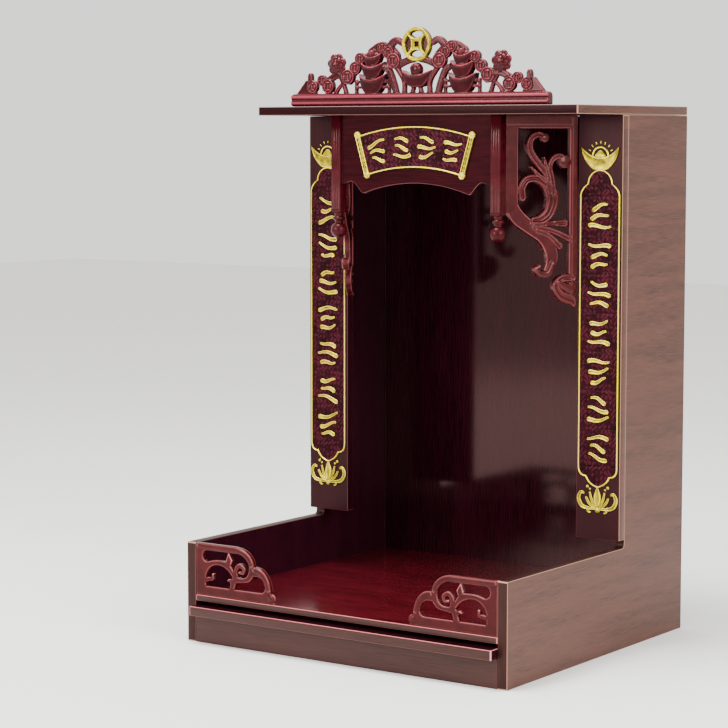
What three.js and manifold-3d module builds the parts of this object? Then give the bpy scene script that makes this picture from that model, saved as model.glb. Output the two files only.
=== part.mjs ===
// Household altar cabinet: a tall open-fronted box of laminated boards that stands in the back of
// a low tray, under a top board that reaches forward like a porch roof. Millimetres, +Z up, the
// open front faces -Y. The origin is on the ground, in the middle of the cabinet's footprint.

import * as THREE from "three";
import { mergeVertices } from "three/addons/utils/BufferGeometryUtils.js";
import Module from "manifold-3d";

const wasm = await Module();
wasm.setup();

// Box of boards
const cabinetWidth = 430;
const cabinetDepth = 388;
const cabinetHeight = 610;
const sideThickness = 12;
const topThickness = 10;
const backThickness = 9;
const trayWallHeight = 115;
const trayReach = 249; // from the tray's front to the tall part of the sides
const trayCornerRadius = 5;
const roofReach = 113; // from the tall part of the sides forward to the top board's edge
const glueGap = 0.3; // between boards that are fixed to each other

// Floor, the board that slides under it, and the plinth
const floorThickness = 7;
const floorHeight = 55; // the floor's upper face
const slotHeight = 4.6; // dark slot between the floor and the sliding board
const slidingThickness = 11;
const slidingDepth = 300;
const slidingProud = 12.5; // the grip edge ahead of the tray's front
const runningGap = 0.4; // round the sliding board
const plinthThickness = 12;
const runnerWidth = 14;
const runnerHeight = 18;

// Boards that face the tall sides
const pilasterWidth = 56;
const pilasterThickness = 12;
const pilasterFootGap = 9; // open strip between a pilaster's foot and the tray wall

// Posts and frieze under the porch roof
const postSpacing = 216;
const postSize = 12.5;
const postSetback = 6.5; // behind the top board's front edge
const postShaftLength = 111;
const reedDepth = 0.9;
const reedInset = 2.9;
const finialRadius = 9.2;
const finialNeckLength = 11;
const friezeThickness = 6;
const friezeArchHeight = 76.5; // depth of the frieze board at its middle
const friezeCuspDrop = 12; // how far the two cusps hang below the arch
const friezeCuspSpacing = 142;
const friezeShoulder = 17;

// Fan-shaped plaque on the frieze
const fanOuterRadius = 220;
const fanInnerRadius = 175;
const fanHalfAngle = 0.35;
const fanTopDrop = 12.2; // from the top board down to the top of the fan
const fanPlateThickness = 1;
const fanRimThickness = 2.6;
const fanRimWidth = 2.4;
const fanRodWidth = 6;
const fanStrokeHeight = 1.5;
const fanKnobRadius = 4.4;

// Couplet plaques on the pilasters
const coupletWidth = 51;
const coupletHeight = 357;
const coupletDrop = 60.4; // from the top board down to the arch of the plaque
const coupletArchRadius = 16;
const coupletPlateThickness = 0.8;
const coupletRimThickness = 1.8;
const coupletRimWidth = 1.9;
const tileCount = 7;
const lotusDrop = 22; // from the plaque's point down to the root of the lotus
const ingotWidth = 47;
const ingotHeight = 25.5;
const ingotThickness = 2.2;
const strokeThickness = 2;

// Openwork brackets
const scrollBracketThickness = 7;
const scrollBracketHeight = 203;
const scrollPostLap = 1.6; // its start hides behind the post's edge
const scrollEndInlet = 2; // its end aims this far behind the pilaster's face
const scrollEndGap = 3.3; // between its end and that aim
const scrollFarStileWidth = 9;
const scrollRelief = 1.2;
const scrollStileWidth = 16;
const scrollRailWidth = 12;
const railBracketThickness = 6;
const railBracketLength = 112;
const railBracketSetback = 0.5;

// Crown
const crownLength = 347;
const crownSetback = 7.7;
const crownRailDepth = 11;
const crownRailHeight = 14.5;
const crownRailStep = 1.6;
const crownLap = 0.5; // how deep the openwork sinks into the rail
const crownThickness = 7;
const crownHeight = 87.7;
const crownCoinRadius = 19.3;

// Planes worked out from the sizes above
const frontY = (slidingProud - cabinetDepth) / 2;
const backY = frontY + cabinetDepth;
const tallY = frontY + trayReach;
const roofY = tallY - roofReach;
// Top of everything that hangs or stands below the top board
const undersideZ = cabinetHeight - topThickness - glueGap;
const innerX = cabinetWidth / 2 - sideThickness;
const fittedX = innerX - glueGap;
const innerBackY = backY - backThickness - glueGap;
const floorUnderZ = floorHeight - floorThickness;
const slidingTopZ = floorUnderZ - slotHeight;
const slidingUnderZ = slidingTopZ - slidingThickness;
const plinthTopZ = slidingUnderZ - runningGap;
const pilasterFootZ = trayWallHeight + pilasterFootGap;
const pilasterFrontY = tallY - glueGap - pilasterThickness;
const pilasterInnerX = cabinetWidth / 2 - pilasterWidth;
const pilasterMiddleX = cabinetWidth / 2 - pilasterWidth / 2;
const postX = postSpacing / 2;
const postY = roofY + postSetback + postSize / 2;
const friezeFrontY = postY - friezeThickness / 2;
const railBracketHeight = trayWallHeight - floorHeight - glueGap;

// A scroll bracket starts close behind its post and ends against the pilaster's inner edge
const scrollStart = new THREE.Vector2(postX + postSize / 2 - scrollPostLap, postY + postSize / 2 + glueGap);
const scrollEnd = new THREE.Vector2(pilasterInnerX - glueGap, pilasterFrontY + scrollEndInlet);
const scrollSpan = scrollEnd.clone().sub(scrollStart);
const scrollBracketLength = scrollSpan.length() - scrollEndGap;

const colours = { laminate: 0x8d7066, edge: 0x5c4038, maroon: 0x4c1622, interior: 0x2a0812,
  mahogany: 0x6b1220, moulded: 0x7a3a40, gilt: 0xd9c247 };

function finish(colour, roughness, metalness = 0) {
  return new THREE.MeshStandardMaterial({ color: colour, roughness, metalness });
}

// A closed geometry as a solid that can be joined and cut
function solid(geometry) {
  const bare = geometry.clone();
  bare.deleteAttribute("normal");
  bare.deleteAttribute("uv");
  const merged = mergeVertices(bare, 1e-4);
  return new wasm.Manifold(new wasm.Mesh({
    numProp: 3,
    vertProperties: new Float32Array(merged.attributes.position.array),
    triVerts: new Uint32Array(merged.index.array),
  }));
}

function geometryOf(body) {
  const mesh = body.getMesh();
  const geometry = new THREE.BufferGeometry();
  geometry.setAttribute("position", new THREE.BufferAttribute(new Float32Array(mesh.vertProperties), 3));
  geometry.setIndex(new THREE.BufferAttribute(new Uint32Array(mesh.triVerts), 1));
  geometry.computeVertexNormals();
  return geometry;
}

function join(geometries) {
  return geometryOf(geometries.map(solid).reduce((whole, piece) => whole.add(piece)));
}

function cut(geometry, tools) {
  return geometryOf(tools.map(solid).reduce((rest, tool) => rest.subtract(tool), solid(geometry)));
}

function common(first, second) {
  return geometryOf(solid(first).intersect(solid(second)));
}

// The same piece for the other side of the cabinet, with its faces turned to point out again
function mirrored(geometry) {
  const twin = geometry.clone().applyMatrix4(new THREE.Matrix4().makeScale(-1, 1, 1));
  const index = twin.index.array;
  for (let i = 0; i < index.length; i += 3) {
    [index[i], index[i + 1]] = [index[i + 1], index[i]];
  }
  twin.computeVertexNormals();
  return twin;
}

function box([x0, x1], [y0, y1], [z0, z1]) {
  const geometry = new THREE.BoxGeometry(x1 - x0, y1 - y0, z1 - z0);
  return geometry.translate((x0 + x1) / 2, (y0 + y1) / 2, (z0 + z1) / 2);
}

// A flat piece of carving lies in the drawing plane, u to the right and v up, and grows towards
// the viewer from `back` by `thickness`; stood up, the viewer's side faces -Y.
function slab(shape, thickness, back = 0, curveSegments = 6) {
  const settings = { depth: thickness, bevelEnabled: false, curveSegments };
  return new THREE.ExtrudeGeometry(shape, settings).translate(0, 0, back);
}

function standUp(geometry) {
  return geometry.rotateX(Math.PI / 2);
}

function outline(points) {
  return new THREE.Shape(points.map(([u, v]) => new THREE.Vector2(u, v)));
}

// Carving is drawn in shares of the piece that carries it: a point has thousandths of its
// length, thousandths of its height and, for a width or a radius, thousandths of its length.
function sharesOf(length, height) {
  return ([u, v, width = 0]) => [u * length / 1000, v * height / 1000, width * length / 1000];
}

// A limb of scrollwork: a strip along a smooth line whose points give place and width
function limb(points, steps) {
  const knots = points.map(([u, v, width]) => new THREE.Vector3(u, v, width));
  const line = new THREE.CatmullRomCurve3(knots, false, "centripetal");
  const left = [];
  const right = [];
  for (let step = 0; step <= steps; step += 1) {
    const here = line.getPoint(step / steps);
    const along = line.getTangent(step / steps);
    const reach = here.z / 2 / Math.hypot(along.x, along.y);
    left.push(new THREE.Vector2(here.x - along.y * reach, here.y + along.x * reach));
    right.unshift(new THREE.Vector2(here.x + along.y * reach, here.y - along.x * reach));
  }
  return new THREE.Shape([...left, ...right]);
}

function disc(u, v, radius, thickness, back = 0, sides = 12) {
  const geometry = new THREE.CylinderGeometry(radius, radius, thickness, sides);
  return geometry.rotateX(Math.PI / 2).translate(u, v, back + thickness / 2);
}

function mesh(name, geometry, material, place = [0, 0, 0], turn = 0) {
  const piece = new THREE.Mesh(geometry, material);
  piece.name = name;
  piece.position.set(...place);
  piece.rotation.z = turn;
  return piece;
}

// Both copies of a piece that stands left and right, made for the right-hand side
function pair(name, geometry, material, [x, y, z], turn = 0) {
  return [
    mesh(`${name}_right`, geometry, material, [x, y, z], turn),
    mesh(`${name}_left`, mirrored(geometry), material, [-x, y, z], -turn),
  ];
}

// One L-shaped side board: a low tray wall that turns up, through a small round, into the tall part
function sidePanel() {
  const roundY = tallY - trayCornerRadius;
  const roundZ = trayWallHeight + trayCornerRadius;
  const shape = new THREE.Shape();
  shape.moveTo(frontY, 0);
  shape.lineTo(backY, 0);
  shape.lineTo(backY, undersideZ);
  shape.lineTo(tallY, undersideZ);
  shape.lineTo(tallY, roundZ);
  shape.absarc(roundY, roundZ, trayCornerRadius, 0, -Math.PI / 2, true);
  shape.lineTo(frontY, trayWallHeight);
  const upright = new THREE.Matrix4().makeBasis(
    new THREE.Vector3(0, 1, 0), new THREE.Vector3(0, 0, 1), new THREE.Vector3(1, 0, 0));
  return slab(shape, sideThickness).applyMatrix4(upright);
}

// Square post with two fine reeds run down each face, and a turned neck, ring and ball under it
function hangingPost() {
  const half = postSize / 2;
  const reedX = half - reedInset;
  const reed = (middle) => [
    [middle - reedDepth, -half],
    [middle, reedDepth - half],
    [middle + reedDepth, -half],
  ];
  const face = [[-half, -half], ...reed(-reedX), ...reed(reedX)];
  const section = [];
  for (let side = 0; side < 4; side += 1) {
    const turn = side * Math.PI / 2;
    section.push(...face.map(([u, v]) => [
      u * Math.cos(turn) - v * Math.sin(turn), u * Math.sin(turn) + v * Math.cos(turn)]));
  }
  const shaft = slab(outline(section), postShaftLength, -postShaftLength);
  const neck = half * 0.72;
  const ringTop = -postShaftLength - finialNeckLength * 0.35;
  const ballMiddle = -postShaftLength - finialNeckLength - finialRadius;
  const ringLip = finialNeckLength * 0.11;
  const neckTop = ringLip - postShaftLength;
  const profile = [[0, neckTop], [neck, neckTop], [neck, ringTop],
    [half, ringTop - ringLip], [half, ringTop - ringLip * 2.7], [neck, ringTop - ringLip * 3.7]];
  const ballSteps = 5;
  const neckAngle = Math.asin(neck / finialRadius);
  for (let step = 0; step <= ballSteps; step += 1) {
    const angle = neckAngle + (Math.PI - neckAngle) * step / ballSteps;
    const radius = step === ballSteps ? 0 : finialRadius * Math.sin(angle);
    profile.push([radius, ballMiddle + finialRadius * Math.cos(angle)]);
  }
  const turned = new THREE.LatheGeometry(profile.reverse().map(([r, z]) => new THREE.Vector2(r, z)), 10);
  return join([shaft, turned.rotateX(Math.PI / 2)]);
}

// Frieze board whose lower edge rises in a wide arch between two cusps
function friezeBoard() {
  const halfSpan = postX - postSize / 2 - glueGap;
  const halfCusps = friezeCuspSpacing / 2;
  const cuspZ = -friezeArchHeight - friezeCuspDrop;
  const shoulderX = halfCusps + friezeShoulder;
  const dip = friezeShoulder * 0.09;
  const shoulderZ = -friezeArchHeight - dip;
  const stepX = shoulderX - friezeShoulder * 0.24;
  const bellyX = halfCusps + friezeShoulder * 0.3;
  const archRadius = (halfCusps ** 2 + friezeCuspDrop ** 2) / (2 * friezeCuspDrop);
  const archAngle = Math.asin(halfCusps / archRadius);
  const archMiddleZ = -friezeArchHeight - archRadius;
  const shape = new THREE.Shape();
  shape.moveTo(-halfSpan, 0);
  shape.lineTo(-halfSpan, shoulderZ - dip * 0.7);
  shape.quadraticCurveTo(-shoulderX, shoulderZ + dip, -stepX, shoulderZ - dip);
  shape.quadraticCurveTo(-bellyX, cuspZ + dip * 0.7, -halfCusps, cuspZ);
  shape.absarc(0, archMiddleZ, archRadius, Math.PI / 2 + archAngle, Math.PI / 2 - archAngle, true);
  shape.quadraticCurveTo(bellyX, cuspZ + dip * 0.7, stepX, shoulderZ - dip);
  shape.quadraticCurveTo(shoulderX, shoulderZ + dip, halfSpan, shoulderZ - dip * 0.7);
  shape.lineTo(halfSpan, 0);
  return standUp(slab(shape, friezeThickness, -friezeThickness, 5));
}

// Sector of a ring, as a fan opens, drawn about the fan's own pivot
function fanSector(innerRadius, outerRadius, halfAngle) {
  const shape = new THREE.Shape();
  const start = Math.PI / 2 + halfAngle;
  const end = Math.PI / 2 - halfAngle;
  shape.moveTo(outerRadius * Math.cos(start), outerRadius * Math.sin(start));
  shape.absarc(0, 0, outerRadius, start, end, true);
  shape.lineTo(innerRadius * Math.cos(end), innerRadius * Math.sin(end));
  shape.absarc(0, 0, innerRadius, end, start, false);
  return shape;
}

// Three rippled strokes of unequal length, a pattern that spells nothing
function strokeGroup(u, v, size, seed, back, thickness) {
  const strokes = [];
  for (let row = 0; row < 3; row += 1) {
    const swing = Math.sin(seed * 2.4 + row * 1.9);
    const half = size * (0.34 + 0.1 * swing);
    const lean = size * 0.09 * Math.cos(seed * 1.7 + row);
    const height = v + size * (0.34 - 0.34 * row);
    const wave = size * 0.08 * (row % 2 === 0 ? 1 : -1);
    const width = size * 0.12;
    strokes.push(slab(limb([
      [u - half, height - lean - wave, width * 0.45],
      [u, height + wave, width],
      [u + half, height + lean - wave, width * 0.6],
    ], 2), thickness, back));
  }
  return strokes;
}

function fanPlaque() {
  const plate = slab(fanSector(fanInnerRadius, fanOuterRadius, fanHalfAngle), fanPlateThickness, 0, 6);
  const rim = (innerRadius) => slab(
    fanSector(innerRadius, innerRadius + fanRimWidth, fanHalfAngle), fanRimThickness, 0, 6);
  const pieces = [plate, rim(fanOuterRadius - fanRimWidth), rim(fanInnerRadius)];
  for (const side of [-1, 1]) {
    const direction = new THREE.Vector2(side * Math.sin(fanHalfAngle), Math.cos(fanHalfAngle));
    const foot = direction.clone().multiplyScalar(fanInnerRadius - fanRimWidth);
    const tip = direction.clone().multiplyScalar(fanOuterRadius + fanRimWidth / 2);
    const rod = limb([[foot.x, foot.y, fanRodWidth * 0.85], [tip.x, tip.y, fanRodWidth]], 1);
    pieces.push(slab(rod, fanRimThickness));
    pieces.push(disc(tip.x, tip.y, fanKnobRadius, fanRimThickness * 1.15, 0, 10));
  }
  const strokeRadius = (fanInnerRadius + fanOuterRadius) / 2;
  const strokeSize = 0.68 * (fanOuterRadius - fanInnerRadius - 2 * fanRimWidth);
  for (let group = 0; group < 4; group += 1) {
    const angle = fanHalfAngle * (group - 1.5) * 0.47;
    const place = [strokeRadius * Math.sin(angle), strokeRadius * Math.cos(angle)];
    pieces.push(...strokeGroup(...place, strokeSize, group + 0.5, fanPlateThickness / 2, fanStrokeHeight));
  }
  return standUp(join(pieces).translate(0, -fanOuterRadius, 0));
}

// Edge of the tall plaque, drawn in by `inset` from its outline: a round arch with two shoulders
// on top, straight sides, two shoulders and a point below
function coupletOutline(inset) {
  const half = coupletWidth / 2 - inset;
  const archRadius = coupletArchRadius - inset;
  const archMiddle = coupletHeight - coupletArchRadius;
  const shoulder = coupletArchRadius * 0.9;
  const pointHeight = coupletArchRadius * 0.75;
  const shape = new THREE.Shape();
  shape.moveTo(0, inset);
  shape.quadraticCurveTo(archRadius * 0.75, inset + pointHeight * 0.25, archRadius, inset + pointHeight);
  shape.quadraticCurveTo(half, inset + pointHeight, half, pointHeight * 2);
  shape.lineTo(half, archMiddle - shoulder);
  shape.quadraticCurveTo(half, archMiddle - shoulder * 0.35 - inset, archRadius, archMiddle);
  shape.absarc(0, archMiddle, archRadius, 0, Math.PI, false);
  shape.quadraticCurveTo(-half, archMiddle - shoulder * 0.35 - inset, -half, archMiddle - shoulder);
  shape.lineTo(-half, pointHeight * 2);
  shape.quadraticCurveTo(-half, inset + pointHeight, -archRadius, inset + pointHeight);
  shape.quadraticCurveTo(-archRadius * 0.75, inset + pointHeight * 0.25, 0, inset);
  return shape;
}

// Boat-shaped ingot seen from the front: a sagging rim between two raised tips, on a narrow foot
function ingotOutline(width, height, rimSag, footWidth) {
  const shape = new THREE.Shape();
  shape.moveTo(-footWidth / 2, 0);
  shape.lineTo(footWidth / 2, 0);
  shape.quadraticCurveTo(width * 0.4, height * 0.28, width / 2, height);
  shape.quadraticCurveTo(0, height - 2 * rimSag, -width / 2, height);
  shape.quadraticCurveTo(-width * 0.4, height * 0.28, -footWidth / 2, 0);
  return shape;
}

// Lotus that hangs from the plaque's point, drawn upwards from its own root
function lotusPieces() {
  const fit = sharesOf(coupletWidth, coupletWidth);
  const strip = (points, steps) => {
    const shape = limb(points.map(fit), steps);
    return slab(shape, strokeThickness).translate(0, -lotusDrop, 0);
  };
  const ballRadius = coupletWidth * 0.069;
  const pieces = [strip([[0, -10, 39], [0, 137, 165], [0, 255, 176], [0, 443, 31]], 4)];
  pieces.push(disc(0, -lotusDrop - ballRadius * 0.85, ballRadius, strokeThickness, 0, 8));
  for (const side of [-1, 1]) {
    pieces.push(strip([[side * 39, 0, 59], [side * 137, 157, 63], [side * 188, 343, 39]], 2));
    pieces.push(strip([[side * 39, -20, 59], [side * 196, 78, 67], [side * 286, 227, 47]], 2));
    pieces.push(strip([
      [side * 20, -29, 47], [side * 235, -27, 75], [side * 392, 20, 98], [side * 471, 176, 90],
      [side * 412, 318, 71], [side * 322, 294, 47],
    ], 5));
    pieces.push(strip([[side * 235, -20, 47], [side * 227, -98, 39], [side * 157, -118, 35]], 2));
  }
  return pieces;
}

// Tall plaque with its raised edge, ingot, rays, lotus and seven groups of strokes
function coupletPlaque(seed) {
  const plate = slab(coupletOutline(0), coupletPlateThickness, 0, 3);
  const rim = cut(slab(coupletOutline(0), coupletRimThickness, 0, 3),
    [slab(coupletOutline(coupletRimWidth), coupletRimThickness * 3, -coupletRimThickness, 3)]);
  const boat = ingotOutline(ingotWidth, ingotHeight, ingotHeight * 0.22, ingotWidth * 0.42);
  const ingot = slab(boat, ingotThickness, 0, 3);
  const ingotFoot = coupletHeight - coupletRimWidth / 2;
  const domeMiddle = ingotFoot + ingotHeight * 0.69;
  const domeRadius = ingotWidth * 0.255;
  const pieces = [plate, rim, ingot.translate(0, ingotFoot, 0)];
  pieces.push(disc(0, domeMiddle, domeRadius, ingotThickness * 0.8, 0, 12));
  const rayCount = 5;
  const rayStart = domeRadius * 1.2;
  const rayEnd = domeRadius * 1.5;
  const rayWidth = domeRadius * 0.11;
  pieces.push(disc(0, domeMiddle, (rayStart + rayEnd) / 2, coupletPlateThickness / 2, 0, 12));
  for (let ray = 0; ray < rayCount; ray += 1) {
    const angle = Math.PI * (0.2 + 0.6 * ray / (rayCount - 1));
    const place = (reach) => [reach * Math.cos(angle), domeMiddle + reach * Math.sin(angle)];
    const stroke = limb([[...place(rayStart), rayWidth * 0.8], [...place(rayEnd), rayWidth]], 1);
    pieces.push(slab(stroke, coupletPlateThickness));
  }
  pieces.push(...lotusPieces());
  const tileFoot = coupletArchRadius * 1.5;
  const tilePitch = (coupletHeight - coupletArchRadius * 1.9 - tileFoot) / tileCount;
  const tileSize = Math.min(tilePitch * 0.74, coupletWidth * 0.66);
  for (let tile = 0; tile < tileCount; tile += 1) {
    pieces.push(...strokeGroup(0, tileFoot + tilePitch * (tile + 0.5), tileSize, seed + tile,
      coupletPlateThickness / 2, strokeThickness - coupletPlateThickness / 2));
  }
  return standUp(join(pieces));
}

// Splayed bracket between a hanging post and a pilaster: a stile, a top rail and a far stile
// around a scroll that ends in a curl and a leaf. Drawn from its top corner by the post.
function scrollBracket() {
  const fit = sharesOf(scrollBracketLength, scrollBracketHeight);
  const back = -scrollBracketThickness;
  const farEdge = scrollBracketLength - scrollFarStileWidth;
  const strip = (points, steps) => limb(points.map(fit), steps);
  const knob = (point) => {
    const round = new THREE.Shape().absarc(...fit(point), 0, Math.PI * 2, false);
    return slab(round, scrollBracketThickness, back, 4);
  };
  const flat = (shape) => slab(shape, scrollBracketThickness, back);
  const raised = (shape) => slab(shape, scrollBracketThickness + scrollRelief, back);
  const bar = (left, right, low, notch = 0) => flat(outline([
    [left, low],
    [right, low + notch],
    [right, 0],
    [left, 0],
  ]));
  return standUp(join([
    bar(0, scrollStileWidth, -postShaftLength, scrollStileWidth * 0.8),
    bar(0, scrollBracketLength, -scrollRailWidth),
    bar(farEdge, scrollBracketLength, -scrollBracketHeight),
    // The long S that crosses down to the leaf, and its curl
    flat(strip([
      [76, -478, 163], [174, -552, 185], [348, -611, 163], [543, -670, 158], [652, -749, 163],
      [652, -813, 141], [587, -857, 87],
    ], 7)),
    raised(strip([[674, -828, 76], [587, -867, 76], [478, -865, 71], [435, -842, 43]], 4)),
    // The C scroll in the middle
    raised(strip([
      [239, -453, 98], [245, -394, 98], [326, -352, 92], [457, -355, 98], [598, -389, 141],
      [663, -453, 174], [609, -532, 141], [478, -571, 120], [304, -552, 98],
    ], 10)),
    // The two upper curls, each round its knob
    raised(strip([
      [630, -404, 120], [587, -330, 98], [478, -271, 87], [375, -217, 87], [337, -172, 87], [370, -128, 76],
      [457, -108, 65], [533, -123, 87],
    ], 7)),
    raised(strip([
      [674, -414, 98], [652, -345, 65], [630, -286, 60], [674, -241, 60], [772, -227, 65], [826, -251, 98],
    ], 6)),
    knob([815, -254, 76]),
    knob([543, -126, 54]),
    // Leaf fingers between the curls, under the C and at the foot
    flat(strip([[609, -335, 54], [565, -276, 49], [543, -234, 17]], 3)),
    flat(strip([[543, -355, 60], [457, -325, 49], [370, -286, 20]], 3)),
    flat(strip([[413, -596, 98], [609, -596, 65], [793, -599, 71]], 2)),
    flat(strip([[435, -611, 87], [674, -640, 65], [935, -685, 76]], 2)),
    flat(strip([[478, -631, 76], [630, -660, 60], [750, -704, 65]], 2)),
    raised(strip([
      [935, -901, 87], [783, -906, 98], [739, -946, 87], [826, -990, 120], [935, -1015, 120], [978, -1054, 33],
    ], 5)),
  ]));
}

// Openwork corner bracket on the tray's front edge, drawn from its corner by the side panel with
// u running inwards; its edge steps down in three rounds to the floor
function railBracket() {
  const fit = sharesOf(railBracketLength, railBracketHeight);
  const back = -railBracketThickness;
  const path = (start, bends) => {
    const shape = new THREE.Shape();
    shape.moveTo(...fit(start).slice(0, 2));
    for (const bend of bends) {
      const [end, handle] = bend.map((point) => fit(point).slice(0, 2));
      if (handle) {
        shape.quadraticCurveTo(...handle, ...end);
      } else {
        shape.lineTo(...end);
      }
    }
    return shape;
  };
  // Each bend is an end point, and the handle of the curve that leads to it
  const body = path([0, 0], [
    [[0, 1000]], [[491, 1000]], [[741, 661], [714, 967]], [[946, 268], [920, 635]], [[1000, 0], [964, 100]],
  ]);
  const topSlot = path([143, 861], [
    [[554, 861]], [[679, 635], [679, 836]], [[571, 418], [679, 418]], [[491, 502], [509, 426]],
    [[411, 694], [455, 619]], [[143, 661], [268, 736]], [[89, 761], [89, 669]], [[143, 861], [89, 853]],
  ]);
  const archOpening = path([125, 184], [
    [[125, 368]], [[286, 610], [161, 602]], [[469, 401], [411, 594]], [[429, 184], [446, 334]],
  ]);
  const lowOpening = path([491, 184], [
    [[513, 309]], [[647, 343]], [[732, 460], [705, 368]], [[879, 293], [857, 518]],
    [[812, 184], [875, 184]],
  ]);
  const openings = [topSlot, archOpening, lowOpening];
  const through = (shape) => slab(shape, railBracketThickness * 3, back * 2, 3);
  const plate = cut(slab(body, railBracketThickness, back, 5), openings.map(through));
  const inside = [
    limb([
      [518, 401, 45], [509, 552, 45], [554, 652, 45], [607, 602, 40], [598, 518, 36], [558, 518, 27],
    ].map(fit), 6),
    limb([[429, 569, 13], [434, 719, 67], [406, 846, 13]].map(fit), 2),
    limb([[98, 284, 54], [152, 318, 40], [205, 334, 36], [214, 418, 22]].map(fit), 3),
    limb([[473, 301, 54], [429, 343, 31], [406, 334, 14]].map(fit), 2),
  ].map((shape) => slab(shape, railBracketThickness * 0.8, back + railBracketThickness * 0.1));
  return mirrored(standUp(join([plate, ...inside])));
}

function squareHole(half, thickness) {
  return slab(outline([[-half, -half], [half, -half], [half, half], [-half, half]]), thickness);
}

// Coin of the crown's strings, with a square sunk in its face
function smallCoin(u, v, radius, front) {
  const thickness = crownThickness * 0.6;
  const coin = disc(u, v, radius, thickness, front - thickness, 8);
  return cut(coin, [squareHole(radius * 0.3, thickness).translate(u, v, front - thickness * 0.3)]);
}

// Ingot rounded in plan: the boat outline kept where it lies inside an upright oval
function roundIngot(u, foot, width, height, depth) {
  const boat = slab(ingotOutline(width, height, height * 0.2, width * 0.48), depth, -depth / 2, 2);
  const reach = width * 0.52;
  const column = new THREE.CylinderGeometry(reach, reach, height * 3, 6).rotateY(Math.PI / 6);
  const oval = column.scale(1, 1, depth / width).translate(0, height / 2, 0);
  return common(boat, oval).translate(u, foot, 0);
}

// Great square-holed coin: a ring that holds a square with hollow sides
function greatCoin(v) {
  const thickness = crownThickness * 0.85;
  const radius = crownCoinRadius;
  const sideRadius = radius * 0.555;
  const waist = radius * 0.27;
  const inner = radius * 0.79;
  const reach = waist + sideRadius;
  const through = (u, v, size, sides) => disc(u, v, size, thickness * 2, -thickness, sides);
  const tools = [squareHole(radius * 0.13, thickness * 2).translate(0, 0, -thickness)];
  for (let side = 0; side < 4; side += 1) {
    const angle = side * Math.PI / 2;
    const hollow = through(reach * Math.cos(angle), reach * Math.sin(angle), sideRadius, 8);
    tools.push(common(through(0, 0, inner, 16), hollow));
  }
  return cut(disc(0, 0, radius, thickness, -thickness / 2, 20), tools).translate(0, v, thickness / 6);
}

// Half-open flower: a round heart in a ring of petals
function flowerBud(u, v, radius) {
  const heart = new THREE.SphereGeometry(radius * 0.6, 6, 4).scale(1, 1, 0.8);
  const pieces = [heart.translate(u, v, radius * 0.1)];
  const petalReach = radius * 0.53;
  for (let petal = 0; petal < 5; petal += 1) {
    const angle = Math.PI * 2 * petal / 5 + Math.PI / 2;
    const lobe = new THREE.SphereGeometry(radius * 0.47, 4, 3).scale(1, 1, 0.75);
    pieces.push(lobe.translate(u + petalReach * Math.cos(angle), v + petalReach * Math.sin(angle), 0));
  }
  return pieces;
}

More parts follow.
